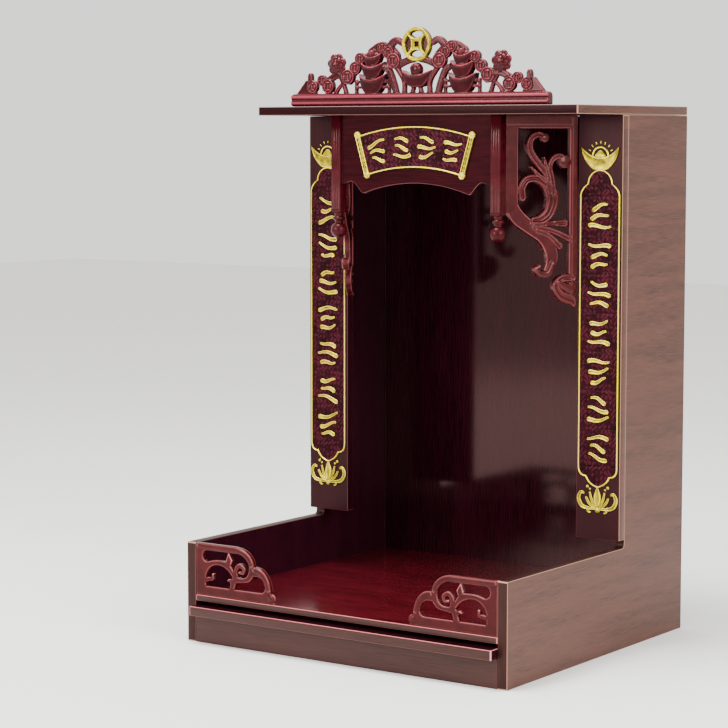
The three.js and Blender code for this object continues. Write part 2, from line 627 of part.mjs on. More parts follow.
// Crown: a stepped rail that carries coins, ingots, flowers and ribbons, moulded in one
function crown() {
  const halfLength = crownLength / 2;
  const fit = sharesOf(crownLength, crownHeight);
  const stepDepth = crownRailDepth - crownRailStep;
  const rail = outline([
    [0, 0],
    [crownRailDepth, 0],
    [crownRailDepth, crownRailHeight * 0.5],
    [stepDepth, crownRailHeight * 0.58],
    [stepDepth, crownRailHeight],
    [0, crownRailHeight],
  ]);
  const lengthwise = new THREE.Matrix4().makeBasis(
    new THREE.Vector3(0, 0, 1), new THREE.Vector3(0, 1, 0), new THREE.Vector3(-1, 0, 0));
  const bar = slab(rail, crownLength).applyMatrix4(lengthwise).translate(halfLength, 0, 0);
  const middle = crownRailDepth / 2;
  const webThickness = crownThickness * 0.7;
  const web = (shape) => slab(shape, webThickness, middle - webThickness / 2);
  const front = middle + crownThickness / 2;
  const foot = 1000 * (crownRailHeight - crownLap) / crownHeight;
  const pieces = [bar];
  for (const side of [-1, 1]) {
    const place = (point) => {
      const [u, v, size] = fit(point);
      return [side * u, v, size];
    };
    const strip = (points, steps) => web(limb(points.map(place), steps));
    const coin = (point, forward = 0) => smallCoin(...place(point), front + forward * crownThickness);
    const ingot = (point, heightRatio, depthRatio) => {
      const [u, v, width] = place(point);
      return roundIngot(u, v, width, width * heightRatio, width * depthRatio).translate(0, 0, middle);
    };
    const flower = flowerBud(...place([317, 548, 34]));
    const [pearlU, pearlV, pearlRadius] = place([174, 673, 14]);
    pieces.push(
      web(outline([[486, foot], [444, 342], [424, 331], [398, foot]].map(place))),
      strip([[426, 274, 17], [426, 439, 14]], 1),
      coin([416, 257, 21]),
      coin([380, 338, 18], -0.11),
      coin([352, 260, 24], 0.09),
      strip([[363, 308, 23], [329, 388, 23], [300, 399, 20], [271, 388, 23]], 3),
      strip([[317, 479, 14], [305, 388, 14], [291, 274, 13], [280, foot, 14]], 3),
      strip([[329, foot, 14], [308, 251, 12], [285, 308, 12], [265, 296, 12]], 3),
      coin([272, 377, 25], 0.09),
      coin([245, 491, 21], -0.06),
      coin([223, 610, 20], 0.06),
      strip([[254, 410, 23], [231, 525, 26], [210, 593, 23]], 2),
      // Frets on both sides of the ingots
      strip([[239, foot, 9], [239, 325, 9]], 1),
      strip([[239, 308, 9], [202, 308, 9]], 1),
      strip([[239, 239, 9], [190, 239, 9]], 1),
      strip([[110, foot, 9], [110, 325, 9]], 1),
      strip([[110, 308, 9], [150, 308, 9]], 1),
      strip([[110, 239, 9], [159, 239, 9]], 1),
      // Three ingots in a stack, under a pearl
      ingot([175, foot, 95], 0.64, 0.45),
      ingot([175, 376, 81], 0.54, 0.5),
      ingot([175, 525, 63], 0.55, 0.59),
      new THREE.SphereGeometry(pearlRadius, 6, 4).translate(pearlU, pearlV, middle + pearlRadius / 5),
      strip([[179, 684, 35], [144, 753, 35], [110, 707, 40], [81, 639, 29]], 3),
      coin([134, 747, 19], 0.04),
      coin([110, 680, 21], 0.13),
      coin([89, 572, 25], 0.2),
      strip([[115, 684, 17], [98, 810, 16], [72, 844, 12], [43, 798, 12]], 4),
      strip([[127, 490, 13], [98, 410, 13], [81, 285, 13], [68, foot, 14]], 3),
      strip([[89, 502, 14], [72, 433, 12], [43, 308, 12], [52, foot, 14]], 4),
      strip([[69, 525, 23], [40, 570, 23], [14, 587, 20]], 2),
      ...flower.map((piece) => piece.translate(0, 0, middle)),
    );
  }
  const [, bowlFoot, bowlWidth] = fit([0, 234, 115]);
  const bowl = roundIngot(0, bowlFoot, bowlWidth, bowlWidth * 0.49, bowlWidth * 0.38);
  const dome = new THREE.SphereGeometry(bowlWidth * 0.2, 6, 4);
  pieces.push(bowl.translate(0, 0, middle));
  pieces.push(dome.translate(0, bowlFoot + bowlWidth * 0.46, middle));
  pieces.push(web(outline([[-26, foot], [26, foot], [17, 251], [-17, 251]].map(fit))));
  pieces.push(greatCoin(crownHeight - crownCoinRadius).translate(0, 0, middle));
  return standUp(join(pieces));
}

const laminate = finish(colours.laminate, 0.35);
const edge = finish(colours.edge, 0.4);
const maroon = finish(colours.maroon, 0.35);
const interior = finish(colours.interior, 0.15);
const mahogany = finish(colours.mahogany, 0.2);
const moulded = finish(colours.moulded, 0.3);
const gilt = finish(colours.gilt, 0.35, 0.6);

const altarCabinet = new THREE.Group();
altarCabinet.name = "altar_cabinet";

const across = [-fittedX, fittedX];
altarCabinet.add(
  mesh("side_panel_right", sidePanel(), laminate, [innerX, 0, 0]),
  mesh("side_panel_left", sidePanel(), laminate, [-innerX - sideThickness, 0, 0]),
  mesh("top_board", box([-cabinetWidth / 2, cabinetWidth / 2], [roofY, backY],
    [cabinetHeight - topThickness, cabinetHeight]), edge),
  mesh("back_panel", box(across, [backY - backThickness, backY], [0, undersideZ]), interior),
  mesh("floor_board", box(across, [frontY, innerBackY], [floorUnderZ, floorHeight]), mahogany),
  mesh("plinth_board", box(across, [frontY, frontY + plinthThickness], [0, plinthTopZ]), edge),
  mesh("sliding_board", box([-innerX + runningGap, innerX - runningGap],
    [frontY - slidingProud, frontY - slidingProud + slidingDepth], [slidingUnderZ, slidingTopZ]), edge),
  ...pair("runner", box([-runnerWidth, 0], [frontY + plinthThickness + glueGap, innerBackY],
    [plinthTopZ - runnerHeight, plinthTopZ]), edge, [fittedX, 0, 0]),
  ...pair("pilaster_board", box([0, pilasterWidth], [0, pilasterThickness], [pilasterFootZ, undersideZ]),
    maroon, [pilasterInnerX, pilasterFrontY, 0]),
);

const coupletFootZ = undersideZ - coupletDrop - coupletHeight;
const coupletBackY = pilasterFrontY - glueGap;
altarCabinet.add(
  mesh("couplet_plaque_right", coupletPlaque(1), gilt, [pilasterMiddleX, coupletBackY, coupletFootZ]),
  mesh("couplet_plaque_left", coupletPlaque(11), gilt, [-pilasterMiddleX, coupletBackY, coupletFootZ]),
  mesh("frieze_board", friezeBoard(), maroon, [0, friezeFrontY, undersideZ]),
  mesh("fan_plaque", fanPlaque(), gilt, [0, friezeFrontY - glueGap, undersideZ - fanTopDrop]),
  ...pair("hanging_post", hangingPost(), moulded, [postX, postY, undersideZ]),
);

const scrollPlace = [scrollStart.x, scrollStart.y, undersideZ];
const railPlace = [fittedX, frontY + railBracketSetback, floorHeight + glueGap];
altarCabinet.add(
  ...pair("scroll_bracket", scrollBracket(), moulded, scrollPlace, scrollSpan.angle()),
  ...pair("rail_bracket", railBracket(), moulded, railPlace),
  mesh("crown", crown(), maroon, [0, roofY + crownSetback + crownRailDepth, cabinetHeight + glueGap]),
);

export default altarCabinet;
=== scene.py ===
"""Looks of a household altar cabinet: laminated boards with rounded arrises, moulded openwork
brackets, a moulded crown with one gilt coin, and embossed plaques with gilt relief.

Drawings are in millimetres on a plane, u to the right, v up and w towards the viewer. A Place
carries them into the frame, which is in metres, +Z up, with the open front facing -Y.
"""

import bpy
import numpy as np
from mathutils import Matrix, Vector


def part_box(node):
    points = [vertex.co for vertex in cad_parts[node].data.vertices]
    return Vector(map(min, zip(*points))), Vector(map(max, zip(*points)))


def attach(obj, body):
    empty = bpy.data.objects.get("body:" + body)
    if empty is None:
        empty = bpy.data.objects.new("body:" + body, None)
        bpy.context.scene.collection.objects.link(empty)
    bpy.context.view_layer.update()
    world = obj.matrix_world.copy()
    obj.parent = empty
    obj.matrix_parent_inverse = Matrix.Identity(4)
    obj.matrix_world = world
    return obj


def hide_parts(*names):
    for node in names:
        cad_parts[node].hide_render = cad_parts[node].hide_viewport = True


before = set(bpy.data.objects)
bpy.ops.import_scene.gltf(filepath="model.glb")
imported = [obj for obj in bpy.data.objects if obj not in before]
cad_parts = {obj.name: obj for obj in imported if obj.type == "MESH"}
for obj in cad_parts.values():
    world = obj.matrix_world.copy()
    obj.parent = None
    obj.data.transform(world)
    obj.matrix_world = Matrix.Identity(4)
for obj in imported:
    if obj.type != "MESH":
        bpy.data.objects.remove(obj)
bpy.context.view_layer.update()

MM = 0.001
X, Y, Z = 0, 1, 2
GLUE_GAP = 0.3
ARRIS = 0.8
CABINET = "cabinet"


def corners(node):
    """The lowest and highest corner of a CAD node, in millimetres."""
    return [np.array(corner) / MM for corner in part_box(node)]


side_low, side_high = corners("side_panel_right")
pilaster_low, pilaster_high = corners("pilaster_board_right")
roof_front = corners("top_board")[0][Y]
post_middle = sum(corners("hanging_post_right")) / 2
rail_low, rail_high = corners("rail_bracket_right")
underside = side_high[Z]
front = side_low[Y]


# Colour and materials

# Tints of the light that glances off a surface.
PLAIN = (1.0, 1.0, 1.0, 1.0)
WARM = (1.0, 0.78, 0.72, 1.0)
RED = (1.0, 0.56, 0.52, 1.0)


def colour(code):
    """The linear colour of an sRGB hex code: each channel through the sRGB curve."""
    share = np.array([int(code[i:i + 2], 16) for i in (1, 3, 5)]) / 255
    linear = np.where(share <= 0.04045, share / 12.92, ((share + 0.055) / 1.055) ** 2.4)
    return (*linear, 1.0)


def node(tree, kind, inputs=(), **settings):
    """Adds one node. Inputs are pairs of a socket's name or number and a value or an output."""
    made = tree.nodes.new(kind)
    for name, value in settings.items():
        setattr(made, name, value)
    for name, value in inputs:
        if isinstance(value, bpy.types.NodeSocket):
            tree.links.new(value, made.inputs[name])
        else:
            made.inputs[name].default_value = value
    return made


def begin(name):
    """An empty material with its tree and the object's own coordinates."""
    material = bpy.data.materials.new(name)
    material.use_nodes = True
    tree = material.node_tree
    tree.nodes.clear()
    here = node(tree, "ShaderNodeTexCoord").outputs["Object"]
    return material, tree, here


def close(tree, ground, coats, roughness, bump=None, **constants):
    """Ends a material in one shader. Its colour is the ground with each coat laid over it by the
    coat's share. A bump is a pattern, its strength and its depth in millimetres. Constants are set
    on the shader's own sockets."""
    shown = colour(ground)
    for share, code in coats:
        mix = node(tree, "ShaderNodeMix", [("Factor", share), (6, shown), (7, colour(code))],
                   data_type="RGBA")
        shown = mix.outputs[2]
    shader = node(tree, "ShaderNodeBsdfPrincipled", [
        ("Base Color", shown), ("Roughness", roughness)])
    for name, value in constants.items():
        shader.inputs[name.replace("_", " ")].default_value = value
    if bump is not None:
        pattern, strength, depth = bump
        relief = node(tree, "ShaderNodeBump", [
            ("Height", pattern), ("Strength", strength), ("Distance", depth * MM)])
        tree.links.new(relief.outputs["Normal"], shader.inputs["Normal"])
    node(tree, "ShaderNodeOutputMaterial", [("Surface", shader.outputs["BSDF"])])


def laminate(name, dark, middle, light, along, arris, rough, shine=0.5, tint=RED, figure=26.0,
             spread=0.13):
    """Melamine board with a printed wood figure under a clear satin film. Fine fibres and broad
    figure are noise stretched along the grain, which runs along the axis `along`; rounded arrises
    are painted paler, a painted highlight where they catch light. `shine` and `tint` are the
    strength and the colour of what it reflects."""
    fibre_width, fibre_length, figure_stretch = 0.55, 26, 13
    material, tree, here = begin(name)
    fibre_scale = [1 / (fibre_width * MM)] * 3
    figure_scale = [1 / (figure * MM)] * 3
    fibre_scale[along] = 1 / (fibre_length * MM)
    figure_scale[along] = 1 / (figure * figure_stretch * MM)
    fibre_at = node(tree, "ShaderNodeMapping", [("Vector", here), ("Scale", fibre_scale)])
    figure_at = node(tree, "ShaderNodeMapping", [("Vector", here), ("Scale", figure_scale)])
    fibres = node(tree, "ShaderNodeTexNoise", [
        ("Vector", fibre_at.outputs["Vector"]), ("Scale", 1.0), ("Detail", 3.0),
        ("Roughness", 0.6)])
    waves = node(tree, "ShaderNodeTexNoise", [
        ("Vector", figure_at.outputs["Vector"]), ("Scale", 1.0), ("Detail", 4.0),
        ("Roughness", 0.55), ("Distortion", 0.5)])
    broad = node(tree, "ShaderNodeMapRange", [
        ("Value", waves.outputs["Fac"]), ("From Min", 0.5 - spread), ("From Max", 0.5 + spread)])
    fine = node(tree, "ShaderNodeMapRange", [
        ("Value", fibres.outputs["Fac"]), ("From Min", 0.36), ("From Max", 0.66), ("To Max", 0.7)])
    edge = node(tree, "ShaderNodeAttribute", attribute_name="arris")
    sheen = node(tree, "ShaderNodeMapRange", [
        ("Value", fibres.outputs["Fac"]), ("To Min", rough * 0.85), ("To Max", rough * 1.2)])
    coats = ((broad.outputs["Result"], middle), (fine.outputs["Result"], light),
             (edge.outputs["Fac"], arris))
    close(tree, dark, coats, sheen.outputs["Result"], (fibres.outputs["Fac"], 0.12, 0.05),
          Specular_Tint=tint, Specular_IOR_Level=shine)
    return material


def moulded(name, shade, body, crest, rough, shine):
    """Injection-moulded plastic with a glossy skin. Colour clouds with the flow of the melt, over
    some 14 mm, and the skin is faintly uneven at about 1.5 mm, which breaks up its highlights.
    Embossed crests get a painted highlight, paler than the body."""
    material, tree, here = begin(name)
    flow = node(tree, "ShaderNodeTexNoise", [
        ("Vector", here), ("Scale", 1 / (14 * MM)), ("Detail", 3.0), ("Roughness", 0.6)])
    spread = node(tree, "ShaderNodeMapRange", [
        ("Value", flow.outputs["Fac"]), ("From Min", 0.35), ("From Max", 0.65)])
    edge = node(tree, "ShaderNodeAttribute", attribute_name="arris")
    skin = node(tree, "ShaderNodeTexNoise", [
        ("Vector", here), ("Scale", 1 / (1.5 * MM)), ("Detail", 2.0)])
    sheen = node(tree, "ShaderNodeMapRange", [
        ("Value", flow.outputs["Fac"]), ("To Min", rough * 0.8), ("To Max", rough * 1.25)])
    close(tree, shade, ((spread.outputs["Result"], body), (edge.outputs["Fac"], crest)),
          sheen.outputs["Result"], (skin.outputs["Fac"], 0.15, 0.06), Specular_Tint=RED,
          Specular_IOR_Level=shine)
    return material


def gilding():
    """Gold paint on moulded relief: a metal with a sprayed, faintly grained skin at 0.6 mm, deeper
    and olive where the paint runs thin over some 7 mm, with a painted pale highlight along the
    crests."""
    material, tree, here = begin("sprayed_gold_paint")
    grain = node(tree, "ShaderNodeTexNoise", [
        ("Vector", here), ("Scale", 1 / (0.6 * MM)), ("Detail", 2.0)])
    patches = node(tree, "ShaderNodeTexNoise", [
        ("Vector", here), ("Scale", 1 / (7 * MM)), ("Detail", 2.0)])
    thin = node(tree, "ShaderNodeMapRange", [
        ("Value", patches.outputs["Fac"]), ("From Min", 0.35), ("From Max", 0.7)])
    edge = node(tree, "ShaderNodeAttribute", attribute_name="arris")
    sheen = node(tree, "ShaderNodeMapRange", [
        ("Value", grain.outputs["Fac"]), ("To Min", 0.24), ("To Max", 0.4)])
    close(tree, "#ab9600", ((thin.outputs["Result"], "#544a02"), (edge.outputs["Fac"], "#ecd83a")),
          sheen.outputs["Result"], (grain.outputs["Fac"], 0.35, 0.08), Metallic=0.8)
    return material


# The printed paper under a matt-pressed film shows long brown streaks from front to back and a
# broad, soft sheen. Its pale taupe on the outside faces and outward ends is a painted sheen:
# inside, the same boards show the dark inside film.
outer_film = laminate("satin_printed_melamine_outside", "#28130d", "#40221a", "#5f392a", Y,
                      "#b08c74", rough=0.36, shine=0.26, tint=WARM, figure=13.0, spread=0.1)
# Band glued along the sawn edges: duller and darker than the faces, with a painted pale highlight
# at its arris.
edge_band = laminate("printed_edge_band", "#180a09", "#23100e", "#301a16", Z, "#9b7865",
                     rough=0.4, shine=0.2)
# Front strips with the grain along the width: their pressed arris carries a painted salmon
# highlight.
front_film = laminate("satin_printed_melamine_front", "#200e0d", "#2d1614", "#41231f", X,
                      "#cf6a6c", rough=0.32, shine=0.26, tint=WARM)
# Smoother film on the board that is pulled out: nearly black, with a clear reflection.
slide_film = laminate("gloss_printed_melamine_slide", "#120409", "#1c050c", "#2e0c13", X,
                      "#e87f81", rough=0.2, shine=0.35, tint=PLAIN)
# Dark maroon print of fine level fibres that stays deep, as hardly any light glances off it.
frieze_film = laminate("satin_printed_melamine_frieze", "#0d0103", "#1d0308", "#340a11", X,
                       "#76464b", rough=0.3, shine=0.04, figure=9.0)
# Lacquer-smooth inside film with upright grain: warm reflections run down it.
inner_film = laminate("gloss_printed_melamine_inside", "#12030d", "#240713", "#3c121e", Z,
                      "#62232d", rough=0.16)
# The smoothest film, on the back in a near-black print: it mirrors the sides, so the niche looks
# deep.
back_film = laminate("gloss_printed_melamine_back", "#090206", "#18040b", "#2e0a12", Z,
                     "#4a1a22", rough=0.09, shine=0.32)
# Mahogany print under high gloss: red where light falls, with dark flames across the width.
floor_film = laminate("gloss_mahogany_melamine_floor", "#080103", "#340810", "#66161e", X,
                      "#b96d6b", rough=0.16, shine=0.38, figure=8.0, spread=0.07)
# Plain maroon film pressed with a faint upright fibre.
maroon_film = laminate("satin_maroon_melamine", "#140309", "#1f060d", "#2d0e14", Z,
                       "#7f3f46", rough=0.3, shine=0.14)
# Roof print, red-brown and dull, with a painted pale highlight along the arris.
roof_film = laminate("satin_printed_melamine_roof", "#0f0204", "#180508", "#220a0c", X,
                     "#8c625a", rough=0.34, shine=0.07)
# Moulded in polished steel: sharp highlights on a brown-red body, and a painted rose highlight on
# the crests.
bracket_plastic = moulded("gloss_moulded_plastic_brackets", "#300a0e", "#3e1014", "#c86a6e",
                          rough=0.16, shine=0.3)
# The low brackets in the tray are redder, with a painted salmon highlight on their rolled edges.
rail_plastic = moulded("gloss_moulded_plastic_rail", "#2f090c", "#3d0c10", "#e88686",
                       rough=0.18, shine=0.18)
# Posts from a redder batch, a little duller from the saw-tooth flow along their reeds.
post_plastic = moulded("gloss_moulded_plastic_posts", "#2a0409", "#380910", "#985c62",
                       rough=0.25, shine=0.17)
# The crown in wine-red plastic, deep in its hollows, with a painted rose highlight along every lip
# and rim.
crown_plastic = moulded("gloss_moulded_plastic_crown", "#200308", "#30060d", "#c8505f",
                        rough=0.14, shine=0.22)
# Embossed sheet: the pressed ground stays almost black, and the highest leaf scrolls carry a
# painted wine-red highlight.
plaque_plastic = moulded("satin_embossed_plastic_plaque", "#150207", "#26060f", "#74283a",
                         rough=0.3, shine=0.06)
gold = gilding()


# Meshes


def add(name, data):
    """A new object in the scene."""
    made = bpy.data.objects.new(name, data)
    bpy.context.scene.collection.objects.link(made)
    return made


QUARTER_TURNS = ((1, 0), (0, 1), (-1, 0), (0, -1))


class Place:
    """Carries a drawing into the frame: origin plus u, v and w along three directions."""

    def __init__(self, origin, u=(1, 0, 0), v=(0, 0, 1), w=(0, -1, 0)):
        self.origin = np.array(origin, float)
        self.turn = np.array([u, v, w], float)

    def mirrored(self):
        """The same place on the other side of the cabinet."""
        flip = np.array([-1, 1, 1])
        return Place(self.origin * flip, *(self.turn * flip))

    def __call__(self, points):
        """Drawn points in the frame: each is turned, moved to the origin and put in metres."""
        return (np.asarray(points) @ self.turn + self.origin) * MM

    def turns_over(self):
        """Whether it mirrors what it carries, as a turn with a negative determinant does."""
        return np.linalg.det(self.turn) < 0


def shell(name, vertices, faces, place, materials, stands_for=(), body=CABINET,
          indices=None, arris=None):
    """One piece of the object: a closed mesh of placed points, whose faces are turned round where
    its place mirrors them, that rides on a body."""
    faces = [list(face) for face in faces]
    if place.turns_over():
        faces = [face[::-1] for face in faces]
    mesh = bpy.data.meshes.new(name)
    mesh.from_pydata(place(vertices), [], faces)
    mesh.polygons.foreach_set("use_smooth", [True] * len(faces))
    for material in materials:
        mesh.materials.append(material)
    if indices is not None:
        mesh.polygons.foreach_set("material_index", indices)
    if arris is not None:
        worn = mesh.attributes.new("arris", "FLOAT", "POINT")
        worn.data.foreach_set("value", arris)
    mesh.update()
    piece = add(name, mesh)
    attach(piece, body)
    if stands_for:
        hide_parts(*stands_for)
    return piece


def together(parts):
    """Several lots of points and faces as one."""
    vertices, faces, count = [], [], 0
    for points, polygons in parts:
        vertices.append(np.asarray(points, float))
        faces += [[i + count for i in polygon] for polygon in polygons]
        count += len(points)
    return np.concatenate(vertices), faces


def spline(points, shares):
    """A smooth line through points with any number of columns, at shares of its run from 0 to 1:
    the uniform Catmull-Rom cubic, whose ends are carried straight on."""
    points = np.asarray(points, float)
    padded = np.vstack([2 * points[0] - points[1], points, 2 * points[-1] - points[-2]])
    t = np.asarray(shares) * (len(points) - 1)
    i = np.minimum(t.astype(int), len(points) - 2)
    f = (t - i)[:, None]
    a, b, c, d = (padded[i + k] for k in range(4))
    return 0.5 * (2 * b + (c - a) * f + (2 * a - 5 * b + 4 * c - d) * f ** 2
                  + (3 * b - a - 3 * c + d) * f ** 3)


def rings(section_count, ring_count, close_rings=False):
    """Faces of a grid whose rows are closed rings, each joined to the next one."""
    i = np.arange(ring_count if close_rings else ring_count - 1)[:, None] * section_count
    j = np.arange(section_count)[None, :]
    k = (j + 1) % section_count
    total = section_count * ring_count
    quads = np.stack([i + j, i + k, (i + section_count + k) % total,
                      (i + section_count + j) % total], -1)
    return quads.reshape(-1, 4)


def outwards(points, quads, caps=()):
    """The faces of a closed part, all turned round if its volume, the sum of the triangles' triple
    products, comes out negative."""
    fans = [np.stack([np.full(len(cap) - 2, cap[0]), cap[1:-1], cap[2:]], -1)
            for cap in map(np.asarray, caps)]
    a, b, c = np.concatenate([quads[:, :3], quads[:, [0, 2, 3]], *fans]).T
    middle = points - points.mean(0)
    volume = np.sum(middle[a] * np.cross(middle[b], middle[c]))
    faces = quads.tolist() + [list(cap) for cap in caps]
    return faces if volume > 0 else [face[::-1] for face in faces]


def loft(sections, closed=False):
    """Points and faces of a solid through sections, an array of rings of points; its two ends are
    flat unless the rings run round to the first one."""
    ring_count, section_count = sections.shape[:2]
    points = sections.reshape(-1, 3)
    last = section_count * (ring_count - 1)
    caps = () if closed else (list(range(section_count))[::-1],
                              list(range(last, last + section_count)))
    return points, outwards(points, rings(section_count, ring_count, closed), caps)


# Sections of relief: share across, share of the height, and the painted highlight on the paint.
CHANNEL = np.array([(0, 0, 0), (0.03, 0.6, 0.5), (0.14, 1, 1), (0.28, 0.7, 0.1), (0.5, 0.5, 0),
                    (0.72, 0.7, 0.1), (0.86, 1, 1), (0.97, 0.6, 0.5), (1, 0, 0)])
PLATEAU = np.array([(0, 0, 0.4), (0.03, 0.8, 1), (0.08, 1, 0.8), (0.15, 0.92, 0), (0.5, 0.92, 0),
                    (0.85, 0.92, 0), (0.93, 1, 0.4), (0.97, 0.8, 0.6), (1, 0, 0.2)])
WIRE = np.array([(0, 0, 0.2), (0.08, 0.55, 0.6), (0.27, 0.89, 1), (0.5, 1, 1), (0.73, 0.89, 1),
                 (0.92, 0.55, 0.6), (1, 0, 0.2)])


def strap(left, right, rise, base=0.0, profile=WIRE, closed=False):
    """Relief between two lines: each section goes from a point of the left line straight to one of
    the right line, and stands over `base` by the profile's share of `rise`."""
    flat = left[:, None] + (right - left)[:, None] * profile[None, :, :1]
    height = base + np.broadcast_to(rise, len(left))[:, None, None] * profile[None, :, 1:2]
    points, faces = loft(np.concatenate([flat, height], -1), closed)
    return points, faces, np.tile(profile[:, 2], len(left))


def stroke(points, rise, base=0.0, profile=CHANNEL):
    """A brushstroke in relief along a smooth line of (u, v, width), with round ends: the width
    shrinks as a circle within half a width of each end, where the sections lie closest."""
    count = max(24, 4 * len(points))
    line = spline(points, 0.5 - 0.5 * np.cos(np.linspace(0, np.pi, count)))
    run = np.gradient(line[:, :2], axis=0)
    run /= np.linalg.norm(run, axis=1)[:, None]
    gone = np.concatenate([[0], np.cumsum(np.hypot(*np.diff(line[:, :2], axis=0).T))])
    left_over = np.minimum(gone, gone[-1] - gone) / (line[:, 2] / 2)
    taper = np.sqrt(1 - (1 - np.clip(left_over, 0.02, 1)) ** 2)
    side = np.stack([-run[:, 1], run[:, 0]], -1) * (line[:, 2] * taper / 2)[:, None]
    height = rise * (0.35 + 0.65 * taper)
    return strap(line[:, :2] + side, line[:, :2] - side, height, base, profile)


def lathe(profile, middle, upright=False):
    """A turned form: a profile of (radius, height) carried round its axis, which stands along v if
    upright and otherwise along w."""
    profile, segments = np.asarray(profile, float), 40
    turn = np.linspace(0, 2 * np.pi, segments, endpoint=False)
    radius, height = profile[:, :1], np.broadcast_to(profile[:, 1:], (len(profile), segments))
    across, away = radius * np.cos(turn), radius * np.sin(turn)
    order = (across, height, away) if upright else (across, away, height)
    return loft(np.stack(order, -1) + np.asarray(middle, float))


def rounded(bends, radii, steps=5):
    """A closed outline whose corners are arcs: each arc leaves its corner's edges at radius over
    the tangent of half the turn, and bends between them as a quadratic."""
    bends = np.asarray(bends, float)
    radii = np.broadcast_to(radii, len(bends))
    before = np.roll(bends, 1, 0) - bends
    after = np.roll(bends, -1, 0) - bends
    before /= np.linalg.norm(before, axis=1)[:, None]
    after /= np.linalg.norm(after, axis=1)[:, None]
    t = np.linspace(0, 1, steps)[None, :, None]
    reach = radii[:, None, None]
    start = bends[:, None] + before[:, None] * reach
    end = bends[:, None] + after[:, None] * reach
    arc = (1 - t) ** 2 * start + 2 * t * (1 - t) * bends[:, None] + t ** 2 * end
    return arc.reshape(-1, 2)


def rectangle(left, low, right, high):
    """The corners of an upright rectangle."""
    return [(left, low), (right, low), (right, high), (left, high)]


def board(name, outline, thickness, place, materials, stands_for, arris=ARRIS, body=CABINET,
          highlight_shares=(1.0, 0.3)):
    """A board: its outline, drawn in inwards at both faces by a quarter circle. Materials are those
    of its front face, its back face, its edges and, if they differ, its right and left end; a
    painted highlight is marked along the arris: on the quarter circles of the front face by the
    first share and of the back face by the second, and by the first on the sharp corners of the
    outline, where the sine of the bend is over 0.2."""
    outline = np.asarray(outline, float)
    along = np.roll(outline, -1, 0) - np.roll(outline, 1, 0)
    along /= np.linalg.norm(along, axis=1)[:, None]
    inwards = np.stack([-along[:, 1], along[:, 0]], -1)
    turn = np.linspace(0, np.pi / 2, 4)
    inset = arris * (1 - np.sin(turn))
    drop = arris * (1 - np.cos(turn))
    levels = np.concatenate([drop, thickness - drop[::-1]])
    insets = np.concatenate([inset, inset[::-1]])
    marks = np.concatenate([highlight_shares[1] * np.sin(2 * turn), highlight_shares[0] * np.sin(2 * turn[::-1])])
    leave, arrive = np.roll(outline, -1, 0) - outline, outline - np.roll(outline, 1, 0)
    bend = arrive[:, 0] * leave[:, 1] - arrive[:, 1] * leave[:, 0]
    bend /= np.linalg.norm(arrive, axis=1) * np.linalg.norm(leave, axis=1)
    within = (np.arange(len(marks)) % (len(marks) - 1) > 0)[:, None]
    marks = np.maximum(marks[:, None], within * highlight_shares[0] * (bend > 0.2))
    flat = outline[None] + inwards[None] * insets[:, None, None]
    height = np.broadcast_to(levels[:, None, None] - thickness, (*flat.shape[:2], 1))
    vertices = np.concatenate([flat, height], -1).reshape(-1, 3)
    count = len(outline)
    faces = rings(count, len(levels)).tolist()
    last = count * (len(levels) - 1)
    faces += [list(range(count))[::-1], list(range(last, last + count))]
    steep = np.abs(along[:, 1]) > np.abs(along[:, 0])
    ends = [2] * count
    if len(materials) > 3:
        ends = np.where(steep, np.where(along[:, 1] > 0, 3, 4), 2)
    indices = [*np.tile(ends, len(levels) - 1), 1, 0]
    piece = shell(name, vertices, faces, place, materials, stands_for, body, indices,
                  marks.ravel())
    piece.data.polygons.foreach_set("use_smooth", [index > 1 for index in indices])


def slab_board(node_name, across, up, films, body=CABINET, highlight_shares=(1.0, 0.3)):
    """A plain rectangular board in the place of its CAD node. `across` and `up` are the axes of its
    faces; the front face looks along the third axis, towards its lower end if that is Y."""
    low, high = corners(node_name)
    third = X + Y + Z - across - up
    size = high - low
    directions = np.eye(3)
    facing = directions[third] * (-1 if third == Y else 1)
    origin = low.copy()
    origin[third] = low[third] if third == Y else high[third]
    place = Place(origin, directions[across], directions[up], facing)
    outline = rounded(rectangle(0, 0, size[across], size[up]), 2 * ARRIS)
    board(node_name.replace("board", "panel") + "_finish", outline, size[third], place, films,
          [node_name], body=body, highlight_shares=highlight_shares)


# Boards

# Where two shares are given, they set how strong the painted arris highlight is, front face first.
slab_board("top_board", X, Y, [roof_film] * 3 + [outer_film] * 2,
           highlight_shares=(0.9, 0.8))
slab_board("back_panel", X, Z, [back_film, edge_band, edge_band])
slab_board("floor_board", X, Y, [floor_film, edge_band, front_film])
slab_board("plinth_board", X, Z, [front_film, edge_band, front_film],
           highlight_shares=(0.06, 0.0))
# Its two ends take the nearly black slide film rather than the front strip film: a painted shade.
slab_board("sliding_board", X, Y, [slide_film, edge_band, front_film, slide_film, slide_film],
           body="slide", highlight_shares=(1.0, 0.15))
for side, ends in (("right", [outer_film, maroon_film]), ("left", [maroon_film, outer_film])):
    slab_board(f"runner_{side}", X, Y, [edge_band] * 3)
    slab_board(f"pilaster_board_{side}", X, Z, [maroon_film] * 3 + ends,
               highlight_shares=(0.6, 0.3))

tray_wall_top = rail_high[Z]
tray_round, corner_round = 5.0, 2 * ARRIS
tall_front = pilaster_high[Y] + GLUE_GAP
side_outline = rounded(
    [(front, 0), (side_high[Y], 0), (side_high[Y], underside), (tall_front, underside),
     (tall_front, tray_wall_top), (front, tray_wall_top)],
    [corner_round] * 4 + [tray_round, corner_round], 7)
side_place = Place((side_high[X], 0, 0), (0, 1, 0), (0, 0, 1), (1, 0, 0))
for side, place in (("right", side_place), ("left", side_place.mirrored())):
    board(f"side_board_{side}", side_outline, side_high[X] - side_low[X], place,
          [outer_film, inner_film, edge_band], [f"side_panel_{side}"])


